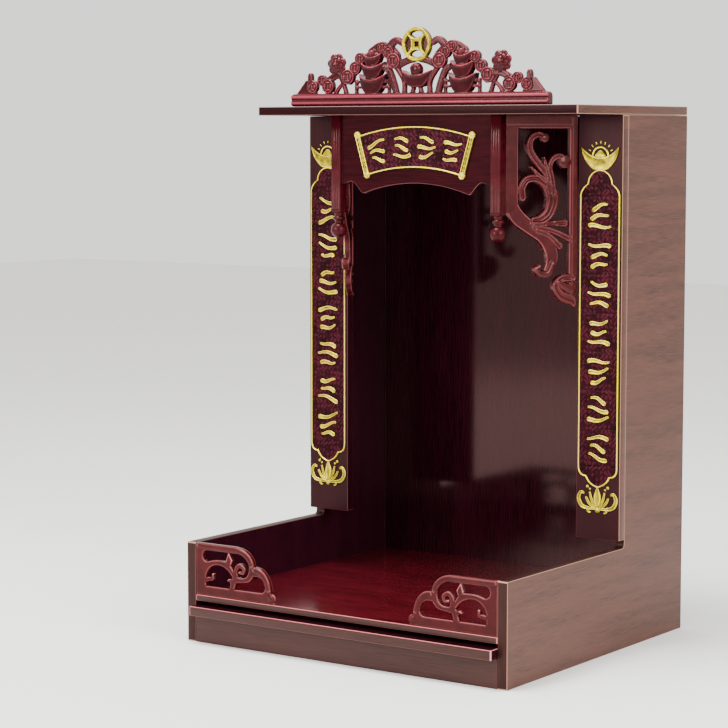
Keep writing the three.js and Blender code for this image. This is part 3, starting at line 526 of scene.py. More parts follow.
def frieze_outline(half_span):
    """The frieze's edge: straight above, and below a wide arch between two cusps, each followed by
    a hollow step up to the posts."""
    arch_height, cusp_drop, half_cusps = 76.5, 12.0, 71.0
    shoulder, lift, ledge_drop = 17.0, 1.6, 1.2
    x = np.linspace(-half_cusps, half_cusps, 41)
    arch = np.stack([x, -arch_height - cusp_drop * (x / half_cusps) ** 2], -1)
    t = np.linspace(0, 1, 12)[1:]
    step = np.stack([half_cusps + shoulder * t,
                     -arch_height - cusp_drop * (0.5 + 0.5 * np.cos(np.pi * t ** 0.9))
                     + lift * t ** 3], -1)
    right = np.concatenate([step, [(half_span, -arch_height - ledge_drop), (half_span, 0)]])
    left = (right * (-1, 1))[::-1]
    return np.concatenate([left, arch, right])


frieze_low, frieze_high = corners("frieze_board")
board("frieze_finish", frieze_outline(frieze_high[X]), frieze_high[Y] - frieze_low[Y],
      Place((0, frieze_low[Y], underside)), [frieze_film] * 3,
      ["frieze_board"], 0.7)


# Moulded openwork


def smooth_min(a, b, width):
    """The lesser of two fields, less a little where they are within `width` of each other, which
    fills the corner between two forms with a fillet."""
    return np.minimum(a, b) - np.maximum(width - np.abs(a - b), 0) ** 2 / (4 * width)


def smooth_max(a, b, width):
    """The greater of two fields, and a little more where they meet, which rounds an edge."""
    return -smooth_min(-a, -b, width)


class Moulding:
    """One moulded piece as a field on a grid of points: at each point about the distance in
    millimetres to the surface, negative inside. Forms are joined and cut as fields, and the
    surface is drawn where the field is nought."""

    def __init__(self, low, high, step):
        outside = 9.0
        self.axes = [np.arange(a - 2 * step, b + 3 * step, step) for a, b in zip(low, high)]
        self.field = np.full([len(axis) for axis in self.axes], outside, np.float32)

    def window(self, low, high, margin=3.0):
        """The part of the drawing plane from low to high, and its u and v."""
        reach = tuple(slice(*np.searchsorted(axis, (a - margin, b + margin)))
                      for axis, a, b in zip(self.axes[:2], low, high))
        return reach, self.axes[0][reach[0]][:, None], self.axes[1][reach[1]][None, :]

    def put(self, reach, side, face, back, arris=0.7, fillet=0.8):
        """Joins a form: `side` is the distance from its outline, and it lies between the heights
        `back` and `face`, with a rounded arris."""
        w = self.axes[2][None, None, :]
        depth = np.maximum(w - np.asarray(face)[..., None], np.asarray(back)[..., None] - w)
        body = smooth_max(side[..., None], depth, arris)
        self.field[reach] = smooth_min(self.field[reach], body, fillet)

    def cut(self, reach, side, floor, arris=0.4):
        """Sinks a form from the front down to the height `floor`."""
        w = self.axes[2][None, None, :]
        tool = smooth_max(side[..., None], np.asarray(floor)[..., None] - w, 0.4)
        self.field[reach] = smooth_max(self.field[reach], -tool, arris)

    def limb(self, points, face, back, crest=0.0, groove=0.0, arris=0.7, fillet=0.8):
        """A limb along a smooth line of (u, v, width). Its face rises by `crest` to its middle as
        half an ellipse, and a groove along the middle sinks it again as a bell curve."""
        groove_share = 0.42
        line = spline(points, np.linspace(0, 1, 8 * len(points)))
        start, end = line[:-1, None, None], line[1:, None, None]
        margin = line[:, 2].max() / 2
        reach, u, v = self.window(line[:, :2].min(0) - margin, line[:, :2].max(0) + margin)
        run = end - start
        t = (u - start[..., 0]) * run[..., 0] + (v - start[..., 1]) * run[..., 1]
        t = np.clip(t / (run[..., 0] ** 2 + run[..., 1] ** 2), 0, 1)
        near = start + run * t[..., None]
        half = near[..., 2] / 2
        away = np.hypot(u - near[..., 0], v - near[..., 1])
        nearest = np.argmin(away - half, 0)[None]
        away = np.take_along_axis(away, nearest, 0)[0]
        half = np.take_along_axis(half, nearest, 0)[0]
        across = np.clip(away / half, 0, 1)
        rise = crest * np.sqrt(1 - across ** 2) - groove * np.exp(-(across / groove_share) ** 4)
        self.put(reach, away - half, face + rise, back, arris, fillet)

    def disc(self, u0, v0, radius, face, back, crest=0.0, arris=0.7, fillet=0.8):
        """A round form whose face rises by `crest` to its middle as half an ellipse."""
        reach, u, v = self.window((u0 - radius, v0 - radius), (u0 + radius, v0 + radius))
        away = np.hypot(u - u0, v - v0)
        rise = crest * np.sqrt(np.clip(1 - (away / radius) ** 2, 0, 1))
        self.put(reach, away - radius, face + rise, back, arris, fillet)

    def ring(self, u0, v0, radius, width, face, back=0.0, crest=0.0, sink=False):
        """A moulding that runs round at a radius, half an ellipse across, or such a groove."""
        reach, u, v = self.window((u0 - radius, v0 - radius), (u0 + radius, v0 + radius), width)
        away = np.abs(np.hypot(u - u0, v - v0) - radius)
        if sink:
            self.cut(reach, away - width / 2, face)
        else:
            rise = crest * np.sqrt(np.clip(1 - (2 * away / width) ** 2, 0, 1))
            self.put(reach, away - width / 2, face + rise, back)

    def polygon(self, outline, face, back=0.0, arris=0.7, fillet=0.8, sink=False):
        """A form with a many-sided outline; its face is a height or a function of u and v. Its
        distance is the least to any side, and it is negative where a line to the right crosses
        the outline an odd number of times."""
        outline = np.asarray(outline, float)
        outline = outline[np.any(outline != np.roll(outline, 1, 0), 1)]
        reach, u, v = self.window(outline.min(0), outline.max(0))
        start, end = outline, np.roll(outline, -1, 0)
        run = (end - start)[:, None, None]
        du, dv = u - start[:, 0, None, None], v - start[:, 1, None, None]
        t = np.clip((du * run[..., 0] + dv * run[..., 1]) / (run ** 2).sum(-1), 0, 1)
        away = np.hypot(du - run[..., 0] * t, dv - run[..., 1] * t).min(0)
        level = (start[:, 1, None, None] > v) != (end[:, 1, None, None] > v)
        with np.errstate(divide="ignore", invalid="ignore"):
            hit = u < start[:, 0, None, None] + run[..., 0] * dv / run[..., 1]
        inside = np.logical_and(level, hit).sum(0) % 2 == 1
        side = np.where(inside, -away, away)
        face = face(u, v) if callable(face) else face
        if sink:
            self.cut(reach, side, face, arris)
        else:
            self.put(reach, side, face, back, arris, fillet)

    def ball(self, middle, radii, fillet=0.8):
        """An ellipsoid: the distance from its middle in radii, less one, times the least radius."""
        middle, radii = np.asarray(middle, float), np.broadcast_to(radii, 3).astype(float)
        reach, u, v = self.window(middle[:2] - radii[:2], middle[:2] + radii[:2])
        w = self.axes[2][None, None, :]
        scaled = np.sqrt(((u[..., None] - middle[0]) / radii[0]) ** 2
                         + ((v[..., None] - middle[1]) / radii[1]) ** 2
                         + ((w - middle[2]) / radii[2]) ** 2)
        self.field[reach] = smooth_min(self.field[reach], (scaled - 1) * radii.min(), fillet)

    def surface(self):
        """Points and faces of the surface. Each cell that the surface passes through gets a point,
        the mean of where it crosses the cell's edges, and each crossed edge gets a face that joins
        the points of the four cells round it."""
        field, axes = self.field, self.axes
        inside = field < 0
        cells = [n - 1 for n in field.shape]
        total, count = np.zeros((*cells, 3), np.float32), np.zeros(cells, np.float32)
        crossed = []
        for axis in range(3):
            near = [slice(None)] * 3
            far = [slice(None)] * 3
            near[axis], far[axis] = slice(None, -1), slice(1, None)
            near, far = tuple(near), tuple(far)
            hit = inside[near] != inside[far]
            crossed.append((hit, inside[near]))
            gap = np.where(hit, field[near] - field[far], 1)
            share = np.where(hit, field[near] / gap, 0)
            step = axes[axis][1] - axes[axis][0]
            place = []
            for other in range(3):
                view = [None] * 3
                view[other] = slice(None, -1) if other == axis else slice(None)
                grid = np.broadcast_to(axes[other][view[other]].reshape(
                    [-1 if k == other else 1 for k in range(3)]), hit.shape)
                place.append(np.where(hit, grid + (share * step if other == axis else 0), 0))
            place = np.stack(place, -1)
            b, c = [k for k in range(3) if k != axis]
            for low_b in (0, 1):
                for low_c in (0, 1):
                    part = [slice(None)] * 3
                    part[b] = slice(low_b, low_b + cells[b])
                    part[c] = slice(low_c, low_c + cells[c])
                    total += place[tuple(part)]
                    count += hit[tuple(part)]
        active = count > 0
        number = np.full(cells, -1)
        number[active] = np.arange(active.sum())
        points = total[active] / count[active][:, None]
        faces = []
        for axis, (hit, first_inside) in enumerate(crossed):
            b, c = [(1, 2), (2, 0), (0, 1)][axis]
            where = np.argwhere(hit)
            where = where[np.all([(where[:, k] > 0) & (where[:, k] < cells[k]) for k in (b, c)], 0)]
            step_b, step_c = np.eye(3, dtype=int)[b], np.eye(3, dtype=int)[c]
            quad = np.stack([number[tuple((where - i * step_b - j * step_c).T)]
                             for i, j in ((1, 1), (0, 1), (0, 0), (1, 0))], -1)
            turned = ~first_inside[tuple(where.T)]
            quad[turned] = quad[turned][:, ::-1]
            faces.append(quad)
        return points, np.concatenate(faces)


# Step of the grids, and a cut deeper than any moulding.
GRID = 0.7
THROUGH = -20.0


def highlighted_arrises(points, faces, most):
    """How pale each point is painted, a painted highlight on the arrises: it rises up to `most`
    with how far the point stands out from the mean of its neighbours along the normal, and more
    where that faces up, towards the light."""
    ring = points[faces]
    across = np.cross(ring[:, 2] - ring[:, 0], ring[:, 3] - ring[:, 1])
    normal, around = np.zeros((2, *points.shape))
    count = np.zeros(len(points))
    for k in range(4):
        np.add.at(normal, faces[:, k], across)
        np.add.at(around, faces[:, k], ring[:, k - 1] + ring[:, (k + 1) % 4])
        np.add.at(count, faces[:, k], 2)
    normal /= np.linalg.norm(normal, axis=1)[:, None]
    stands_out = ((points - around / count[:, None]) * normal).sum(1)
    least, spread = 0.03 * GRID, 0.2 * GRID
    upwards = 0.4 + 0.6 * np.clip(normal[:, 1] + 0.3, 0, 1)
    return most * upwards * np.clip((stands_out - least) / spread, 0, 1)


def moulded_pair(name, drawn, place, material, arris=None, sides=("right", "left")):
    """A moulding on both sides of the cabinet: as drawn on the first, mirrored on the other."""
    points, faces = drawn
    for side, here in zip(sides, (place, place.mirrored())):
        shell(f"{name}_moulding_{side}", points, faces, here, [material],
              [f"{name}_{side}"], arris=arris)


def scroll_bracket():
    """The bracket between a post and a pilaster, drawn from its top corner by the post: a stile, a
    top rail and a far stile, an S that crosses down to a curl, a C scroll, two upper curls with
    knobs, leaf fingers and the leaf at the foot."""
    thickness, length, height, post_length, far_stile = 7.0, 92.0, 203.0, 111.0, 83
    form = Moulding((0, -height - 12, -thickness), (length, 0, 3), GRID)
    plate = dict(face=0, back=-thickness)
    domed = dict(face=-0.6, back=-thickness, crest=1.8)
    form.polygon([(0, 0), (0, -post_length), (16.5, -post_length + 13), (16.5, 0)], **plate)
    form.polygon(rectangle(0, -15, length, 0), **plate)
    form.polygon(rectangle(far_stile, -height, length, 0), **plate)
    form.polygon(rectangle(0, -11, length, 0), 1.0, -1)
    form.polygon(rectangle(far_stile + 2.5, -height, length, 0), 1.0, -1)
    form.limb([(7, -97, 15), (16, -112, 17), (32, -124, 15), (50, -136, 14.5), (60, -152, 15),
               (60, -165, 13), (54, -174, 8)], fillet=0.1, **plate)
    form.limb([(62, -166, 8), (56, -176, 8), (46, -176.5, 7), (40.5, -171, 5), (44, -168, 4)],
              face=0.2, back=-thickness, crest=1.8)
    form.limb([(22.5, -91, 9), (22, -80, 9.5), (29, -71.5, 8.5), (42, -71, 9), (55, -78.5, 13),
               (61.5, -92, 16), (57, -108, 14), (47, -116, 12), (37, -117, 8)],
              face=-0.4, back=-thickness, crest=1.7, groove=2.6)
    form.limb([(58, -84, 11), (54, -67, 9), (44, -55, 8.5), (35, -44, 8.5), (31.5, -35, 8),
               (34, -26, 7), (42, -22, 6.5), (50, -24, 7)], groove=1.9, **domed)
    form.limb([(62, -86, 9), (60, -70, 6.5), (57.5, -58, 6), (61.5, -49, 6), (70, -46, 7),
               (76, -50, 9)], groove=1.4, **domed)
    form.disc(76, -52, 7.2, 0.2, -thickness, crest=1.9)
    form.disc(50.5, -25.5, 5, 0, -thickness, crest=1.8)
    for finger in (
            [(56, -70, 5), (52, -56, 4.5), (50, -47.5, 1.6)],
            [(52, -73, 5.5), (42, -66, 4.5), (34, -58, 1.8)],
            [(36, -122, 9), (56, -120.5, 5), (77, -120.5, 8.5)],
            [(38, -124, 8), (62, -129, 6), (88, -140, 7.5)],
            [(42, -128, 7), (57, -134, 5), (71, -146, 7.5)]):
        form.limb(finger, groove=1.5, **domed)
    form.limb([(88, -182, 8), (74, -182.5, 9), (66, -190, 8), (73, -201, 11), (86, -206, 12),
               (89, -212, 4)], face=0.2, back=-thickness, crest=1.8, groove=1.6)
    form.limb([(68, -186, 5), (78, -192, 8), (88, -195, 9)], face=0.6, back=-thickness, crest=1.5)
    return form.surface()


post_size, within_post, behind_front = 12.5, 1.6, 2
start = post_middle[:2] + (post_size / 2 - within_post, post_size / 2 + GLUE_GAP)
end = np.array([pilaster_low[X] - GLUE_GAP, pilaster_low[Y] + behind_front])
along = (end - start) / np.linalg.norm(end - start)
bracket_place = Place((*start, underside), (*along, 0), (0, 0, 1), (along[1], -along[0], 0))
bracket = scroll_bracket()
moulded_pair("scroll_bracket", bracket, bracket_place, bracket_plastic,
             highlighted_arrises(*bracket, 0.8))


def bezier(start, *bends):
    """A line of quadratic bends: each is an end point, or an end point and its handle."""
    line = [np.array([start], float)]
    for bend in bends:
        end = np.array(bend[:2], float)
        handle = np.array(bend[2:] or (line[-1][-1] + end) / 2, float)
        t = np.linspace(0, 1, 9)[1:, None]
        line.append((1 - t) ** 2 * line[-1][-1] + 2 * t * (1 - t) * handle + t ** 2 * end)
    return np.concatenate(line)


def rail_bracket():
    """The tray's corner bracket, drawn from its corner by the side board: a plate whose edge steps
    down in rolled rounds to a knob, with three openings, and a hook, a lozenge and two leaves that
    stand in them."""
    thickness, length, height = 6.0, 114.0, 59.7
    form = Moulding((0, 0, -thickness), (length, height, 1.5), GRID)
    form.polygon(bezier((0, 0), (0, height), (55, height), (83, 39.5, 80, 57.8),
                        (106, 16, 103, 38), (112, 0, 108, 6)), 0, -thickness, arris=1.5)
    for opening in (
            bezier((16, 52), (62, 52), (76, 38, 76, 51), (64, 25, 76, 25), (55, 30, 57, 25.5),
                   (46, 41.5, 51, 37), (16, 39, 30, 44), (10, 45.5, 10, 40), (16, 52, 10, 51.5)),
            bezier((14, 11), (14, 22), (32, 36.5, 18, 36), (52.5, 24, 46, 35.5), (48, 11, 50, 20)),
            bezier((55, 11), (57.5, 18.5), (72.5, 20.5), (82, 28.5, 79, 22), (98.5, 17.5, 96, 31),
                   (91, 11, 98, 11))):
        form.polygon(opening, THROUGH, arris=1.5, sink=True)
    for line, crest in (
            ([(58, 24, 5), (57, 33, 5), (62, 39, 5), (68, 36, 4.5), (67, 31, 4), (62.5, 31, 3)],
             0.9),
            ([(11, 17, 6), (17, 19, 4.5), (23, 20, 4), (24, 25, 2.5)], 0.7),
            ([(53, 18, 6), (48, 20.5, 3.5), (45.5, 20, 1.6)], 0.7)):
        form.limb(line, -0.9, -thickness + 0.6, crest)
    lozenge = [(48, 34), (52, 43.5), (46.6, 52.5), (43, 43)]
    form.polygon(lozenge, -0.4, -thickness + 0.6, fillet=0.4)
    for roll in (
            [(3.4, 56.4, 6), (40, 56.4, 6), (56, 56.3, 6.2), (65, 54.9, 6.6), (72.2, 51.3, 6.8),
             (77.5, 45.5, 6.6), (80, 40, 5.5)],
            [(84, 36.4, 6.2), (91, 35, 6.6), (96.4, 30.6, 6.8), (100.8, 24, 6.6), (103.6, 15, 6)]):
        form.limb(roll, -0.5, -thickness, 1.5)
    form.ball((107.6, 6.2, -1.6), (5.4, 5.4, 2.7))
    return form.surface()


rail_place = Place((-rail_high[X], rail_low[Y], rail_low[Z]))
bracket = rail_bracket()
moulded_pair("rail_bracket", bracket, rail_place, rail_plastic, highlighted_arrises(*bracket, 1.0),
             ("left", "right"))


# Hanging posts


def post():
    """A square shaft with three reeds on each face, each an arc across, over a chamfered foot, and
    below it a turned neck, ring and ball."""
    half, reed_field, sink, shaft = post_size / 2, 0.8, 1.0, 111.0
    side = np.linspace(-1, 1, 25)[:-1]
    within = ((side / reed_field + 1) * 1.5 % 1) * 2 - 1
    depth = np.where(np.abs(side) < reed_field, sink * (1 - np.sqrt(1 - (0.95 * within) ** 2)), 0)
    face = np.stack([side * half, half - depth], -1)
    section = np.concatenate([face @ np.array([(c, -n), (n, c)]) for c, n in QUARTER_TURNS])
    levels = np.array([(0, 1), (-shaft + 5, 1), (-shaft + 4.4, 1.03), (-shaft + 1.8, 1.03),
                       (-shaft + 0.6, 0.93), (-shaft, 0.86)])
    flat = section[None] * levels[:, 1, None, None]
    height = np.broadcast_to(levels[:, :1, None], (*flat.shape[:2], 1))
    shaft_part = loft(np.concatenate([flat[..., :1], height, flat[..., 1:]], -1))
    ball_middle, ball = -131.2, 9.2
    turn = np.linspace(np.radians(155), 0.01, 22)
    ball_line = np.stack([ball * np.sin(turn), ball_middle - ball * np.cos(turn)], -1)
    neck = [(3.5, -shaft + 1), (5.4, -shaft - 0.4), (5.2, -shaft - 1.6), (4.2, -shaft - 2.8),
            (4.4, -shaft - 4.2), (6.2, -shaft - 5.0), (7.0, -shaft - 6.3), (6.6, -shaft - 7.8),
            (4.9, -shaft - 9.0), (4.5, -shaft - 10.4)]
    turned = lathe(np.concatenate([neck, ball_line]), (0, 0, 0), upright=True)
    return together([shaft_part, turned])


moulded_pair("hanging_post", post(), Place((*post_middle[:2], underside)), post_plastic)


# Plaques

COUPLET_WIDTH, COUPLET_LENGTH, COUPLET_ARCH = 51.0, 357.0, 16.0


def gather(parts):
    """Several reliefs as one lot of points, faces and marks; turned ones are evenly pale."""
    even = 0.35
    points, faces = together([part[:2] for part in parts])
    marks = [part[2] if len(part) > 2 else np.full(len(part[0]), even) for part in parts]
    return points, faces, np.concatenate(marks)


def strokes(u, v, size, seed, base, turn=0.0):
    """Three rippled strokes of unequal length that spell nothing: each follows a sine whose swing
    and phase come from the seed, and swells towards one end as a brush does."""
    c, n = np.cos(turn), np.sin(turn)
    made = []
    for row in range(3):
        swing = np.sin(seed * 2.4 + row * 1.9)
        half, lean = size * (0.38 + 0.08 * swing), size * 0.1 * np.cos(seed * 1.7 + row)
        along = np.linspace(-1, 1, 11)
        ripple = size * (0.34 - 0.34 * row + 0.055 * np.sin(2.6 * along + seed + 1.3 * row))
        width = size * (0.13 - 0.05 * along * np.sign(lean))
        line = np.stack([half * along, ripple + lean * along, width], -1)
        turned = np.stack([u + c * line[:, 0] - n * line[:, 1],
                           v + n * line[:, 0] + c * line[:, 1], line[:, 2]], -1)
        made.append(stroke(turned, 1.1, base))
    return made


def damask(u, v):
    """Embossed leaf scrolls: the product of two sine waves whose phases swing with each other,
    flattened into plateaus by a hyperbolic tangent."""
    leaf = np.sin(0.62 * u + 1.9 * np.sin(0.41 * v)) * np.sin(0.55 * v + 1.9 * np.sin(0.47 * u))
    return np.tanh(3.2 * leaf) + 0.5 * np.sin(1.7 * u + v) * np.sin(1.6 * v - 0.8 * u)


def embossed(u, v, height):
    """A sheet over a grid of u and v with a flat back. The damask stands on its height by a share
    of its own value, and gets a painted pale highlight where that is over one half."""
    relief, pale = 0.14, 0.45
    leaf = damask(u, v)
    front = np.stack([u, v, height + relief * leaf], -1)
    points, faces = loft(np.concatenate([front, front[:, [-1, 0]] * (1, 1, 0)], 1))
    painted_highlight = np.pad(pale * np.clip(leaf - 0.5, 0, 1), ((0, 0), (0, 2)))
    return points, faces, painted_highlight.ravel()


def plaque(name, ending, drawn, place):
    """A plaque in two pieces: its ground, which stands for the CAD node, and its gilt relief."""
    # The ground's marks are a painted highlight on its highest leaves, the relief's a painted
    # highlight along its crests.
    (points, faces, painted_highlight), (gilt_points, gilt_faces, marks) = drawn
    shell(f"{name}_ground{ending}", points, faces, place, [plaque_plastic],
          [f"{name}_plaque{ending}"], arris=painted_highlight)
    shell(f"{name}_relief{ending}", gilt_points, gilt_faces, place, [gold],
          arris=marks)


def couplet_edge(inset):
    """The plaque's edge drawn in by `inset`: an arch on two shoulders, straight sides, two
    shoulders and a point, from the point up the right side and mirrored down the left one."""
    half, radius = COUPLET_WIDTH / 2 - inset, COUPLET_ARCH - inset
    middle = COUPLET_LENGTH - COUPLET_ARCH
    shoulder, point = COUPLET_ARCH * 0.9, COUPLET_ARCH * 0.75
    turn = np.linspace(0, np.pi / 2, 14)
    return np.concatenate([
        bezier((0, inset), (radius, inset + point, radius * 0.75, inset + point * 0.25),
               (half, point * 2, half, inset + point), (half, middle - shoulder),
               (radius, middle, half, middle - shoulder * 0.35 - inset)),
        np.stack([radius * np.cos(turn), middle + radius * np.sin(turn)], -1)[1:]])


def boat(width, height, sag, foot):
    """Lower and upper edge of a boat-shaped ingot: a smooth line through its foot up to the raised
    tips, and a parabola that sags between them."""
    share = np.linspace(0, 1, 29)
    under = spline([(-width / 2, height), (-width * 0.42, height * 0.5), (-foot / 2, 1.5), (0, 0),
                    (foot / 2, 1.5), (width * 0.42, height * 0.5), (width / 2, height)], share)
    over = np.stack([under[:, 0], height - sag * (1 - (2 * under[:, 0] / width) ** 2)], -1)
    return under, np.maximum(over, under + (0, 0.3))


def couplet_plaque(seed):
    """Ground: rows across the plaque between its edges, embossed with damask and crossed by tile
    seams as bell curves. Relief: a round wire along the edge, an ingot with its dome and rays on
    the arch, the strokes, and a lotus under the point."""
    plate, tiles, foot = 0.8, 7, 24.0
    margin, wire, seam_depth, seam_width = 0.6, 1.9, 0.45, 0.6
    edge = couplet_edge(margin)
    rows = np.arange(margin + 0.05, COUPLET_LENGTH - margin - 0.1, 0.8)
    half = np.interp(rows, edge[:, 1], edge[:, 0])[:, None]
    u = half * np.linspace(-1, 1, 65)[None, :]
    v = np.broadcast_to(rows[:, None], u.shape)
    pitch = (COUPLET_LENGTH - COUPLET_ARCH * 1.9 - foot) / tiles
    from_seam = np.abs((v - foot + pitch / 2) % pitch - pitch / 2)
    ground = embossed(u, v, plate - seam_depth * np.exp(-(from_seam / seam_width) ** 2))
    outer, inner = [np.concatenate([line, (line[1:-1] * (-1, 1))[::-1]])
                    for line in (couplet_edge(0), couplet_edge(wire))]
    parts = [strap(outer, inner, 1.8, closed=True)]
    ingot_foot, wide, tall = COUPLET_LENGTH - 1, 47.0, 25.5
    under, over = boat(wide, tall, tall * 0.42, wide * 0.42)
    parts.append(strap(under + (0, ingot_foot), over + (0, ingot_foot), 2.2, profile=PLATEAU))
    dome_middle, dome = ingot_foot + tall * 0.62, wide * 0.235
    turn = np.linspace(0, np.pi, 25)
    arch = np.stack([np.cos(turn), np.sin(turn)], -1)
    parts.append(strap((0, dome_middle) + dome * arch, (0, dome_middle) + dome * 0.78 * arch, 1.9))
    lens = np.array([(dome * 0.66, 0), (-dome * 0.66, 0)])
    bead = spline([lens[0], (0, dome * 0.6), lens[1]], np.linspace(0, 1, 15))
    parts.append(strap(bead + (0, dome_middle), bead * (1, -0.35) + (0, dome_middle), 1.6,
                       profile=PLATEAU))
    for angle in np.radians(np.linspace(25, 155, 7)):
        ray = np.array([np.cos(angle), np.sin(angle)])
        ends = [(*(ray * dome * reach + (0, dome_middle)), 1.3) for reach in (1.24, 1.38, 1.52)]
        parts.append(stroke(ends, 0.8, profile=WIRE))
    root = -22.0
    petals = [[(0, -0.5, 2), (0, 7, 8.4), (0, 13, 9), (0, 22.6, 1.6)]]
    for side in (-1, 1):
        petals += [[(side * 2, 0, 3), (side * 7, 8, 3.2), (side * 9.6, 17.5, 2)],
                   [(side * 2, -1, 3), (side * 10, 4, 3.4), (side * 14.6, 11.6, 2.4)],
                   [(side, -1.5, 2.4), (side * 12, -1.4, 3.8), (side * 20, 1, 5),
                    (side * 24, 9, 4.6), (side * 21, 16.2, 3.6), (side * 16.4, 15, 2.4)],
                   [(side * 12, -1, 2.4), (side * 11.6, -5, 2), (side * 8, -6, 1.8)]]
        for dot, radius in (((side * 13, 22.9), 2.0), ((side * 9.7, 20.4), 1.5)):
            button = [(radius, 0), (radius * 0.9, 0.7), (radius * 0.5, 1.2), (0.05, 1.4)]
            parts.append(lathe(button, (dot[0], root + dot[1], 0)))
    parts += [stroke(np.array(petal) + (0, root, 0), 1.6) for petal in petals]
    parts.append(lathe([(3.4, 0), (3.1, 1), (2.0, 1.6), (0.05, 1.8)], (0, root - 3, 0)))
    for tile in range(tiles):
        parts += strokes(0, foot + pitch * (tile + 0.5), pitch * 0.74, seed + tile, plate)
    return ground, gather(parts)


plaque_low, plaque_high = corners("couplet_plaque_right")
plaque_u = (plaque_low[X] + plaque_high[X]) / 2
plaque_drop = 60.4
for side, seed, sign in (("right", 1, 1), ("left", 11, -1)):
    plaque("couplet", f"_{side}", couplet_plaque(seed), Place(
        (sign * plaque_u, plaque_high[Y], underside - plaque_drop - COUPLET_LENGTH)))


def fan_plaque():
    """Drawn about the fan's own pivot. Ground: a sector of a ring with damask. Relief: two wires
    along its arcs, two rods carved with lozenges and ending in knobs, and four groups of
    strokes."""
    inner, outer, half_angle, plate, rise = 225.0, 272.0, 0.288, 1.0, 2.6
    angle = np.linspace(-half_angle, half_angle, 181)[:, None]
    radius = np.linspace(inner + 0.5, outer - 0.5, 53)[None, :]
    u, v = radius * np.sin(angle), radius * np.cos(angle)
    *ground, painted_highlight = embossed(u, v, plate)
    arc = np.concatenate([np.sin(angle), np.cos(angle)], -1)
    wire = 2.2
    parts = [strap(arc * near, arc * (near + wire), rise) for near in (outer - wire, inner)]
    lozenges, rod, knob, strips = 9, 6.4, 4.2, []
    for side in (-1, 1):
        out = np.array([side * np.sin(half_angle), np.cos(half_angle)])
        beside = np.array([out[1], -out[0]]) * rod / 2
        along = np.linspace(inner - 0.5, outer + 1, 2 * lozenges + 1)
        middle = along[:, None] * out
        strips.append(strap(middle - beside, middle + beside, 1.5, profile=PLATEAU)[:2])
        for near, far in ((-1, -0.6), (0.6, 1)):
            parts.append(strap(middle + near * beside, middle + far * beside, rise, 0.4))
        spread = 0.05 + 0.45 * (np.arange(len(along)) % 2)[:, None]
        parts.append(strap(middle - spread * beside, middle + spread * beside, 1.0, 1.2, CHANNEL))
        for reach in (inner + 1, outer + 1):
            parts.append(lathe([(knob, 0), (knob, 1.9), (knob * 0.82, 2.9), (knob * 0.6, 2.3),
                                (knob * 0.4, 2.3), (0.05, 2.9)], (*(reach * out), 0)))
    for group in range(4):
        turn = half_angle * (group - 1.5) * 0.47
        middle = (inner + outer) / 2
        parts += strokes(middle * np.sin(turn), middle * np.cos(turn), 27.0, group + 0.5, plate,
                         -turn)
    points, faces = together([ground, *strips])
    return (points, faces, np.pad(painted_highlight, (0, len(points) - len(painted_highlight)))), gather(parts)


fan_back = corners("fan_plaque")[1][Y]
fan_shift, fan_pivot = -0.8, 315.5
plaque("fan", "", fan_plaque(), Place((fan_shift, fan_back, fan_pivot)))


# Crown

CROWN_HALF, CROWN_BACK, CROWN_MIDDLE = 173.5, 2.6, 5.5
REED, REED_FACE, REED_RISE = 7.2, 8.2, 2.8
GREAT_COIN_AT, GREAT_COIN_RADIUS = 68.4, 19.3


def square(u, v, half):
    """The corners of a square about a point."""
    return rectangle(u - half, v - half, u + half, v + half)


def coin(form, u, v, radius, face):
    """A coin with a round groove inside its rim, a sunk square in the middle and an upright bar
    over it."""
    form.disc(u, v, radius, face, 2.0, crest=0.7, arris=0.5, fillet=0.4)
    form.ring(u, v, 0.74 * radius, 0.2 * radius, face - 0.8, sink=True)
    form.polygon(square(u, v, 0.44 * radius), face - 0.8, arris=0.4, sink=True)
    form.limb([(u, v - 0.4 * radius, 1.9), (u, v + 0.4 * radius, 1.9)], face + 0.3, face - 3,
              fillet=0.3)


def ingot(form, u, v, width, height, depth):
    """A boat-shaped ingot. Its face bulges as an ellipse across and swells from the foot to the
    rim, where a lip stands out as a bell curve."""
    sag = height * 0.3
    under, over = boat(width, height, sag, width * 0.5)

    def face(x, y):
        across = np.clip(1 - (2 * (x - u) / width) ** 2, 0, 1)
        rim = v + height - sag * across
        swell = 0.66 + 0.3 * np.clip((y - v) / height, 0, 1)
        lip = 0.8 * np.exp(-((y - rim + 1.3) / 1.2) ** 2)
        return CROWN_MIDDLE + depth / 2 * np.sqrt(across) * swell + lip

    outline = np.concatenate([under, over[::-1]]) + (u, v)
    form.polygon(outline, face, CROWN_MIDDLE - depth / 2, arris=0.9, fillet=0.35)


def flower(form, u, v, radius, middle):
    """Three whorls of seven petals, each an ellipsoid, the inner ones higher, round a bud."""
    whorls = ((0.62, 0.38, -0.6, 0.3), (0.4, 0.34, 1.4, 0.75), (0.18, 0.28, 3.0, 0.2))
    for reach, size, height, start in whorls:
        for petal in range(7):
            turn = start + petal * 2 * np.pi / 7
            out = reach * radius
            place = (u + out * np.cos(turn), v + out * np.sin(turn), middle + height)
            form.ball(place, (size * radius, size * radius, 3.2), fillet=0.25)
    form.ball((u, v, middle + 4.2), (0.2 * radius, 0.2 * radius, 2.4), fillet=0.3)


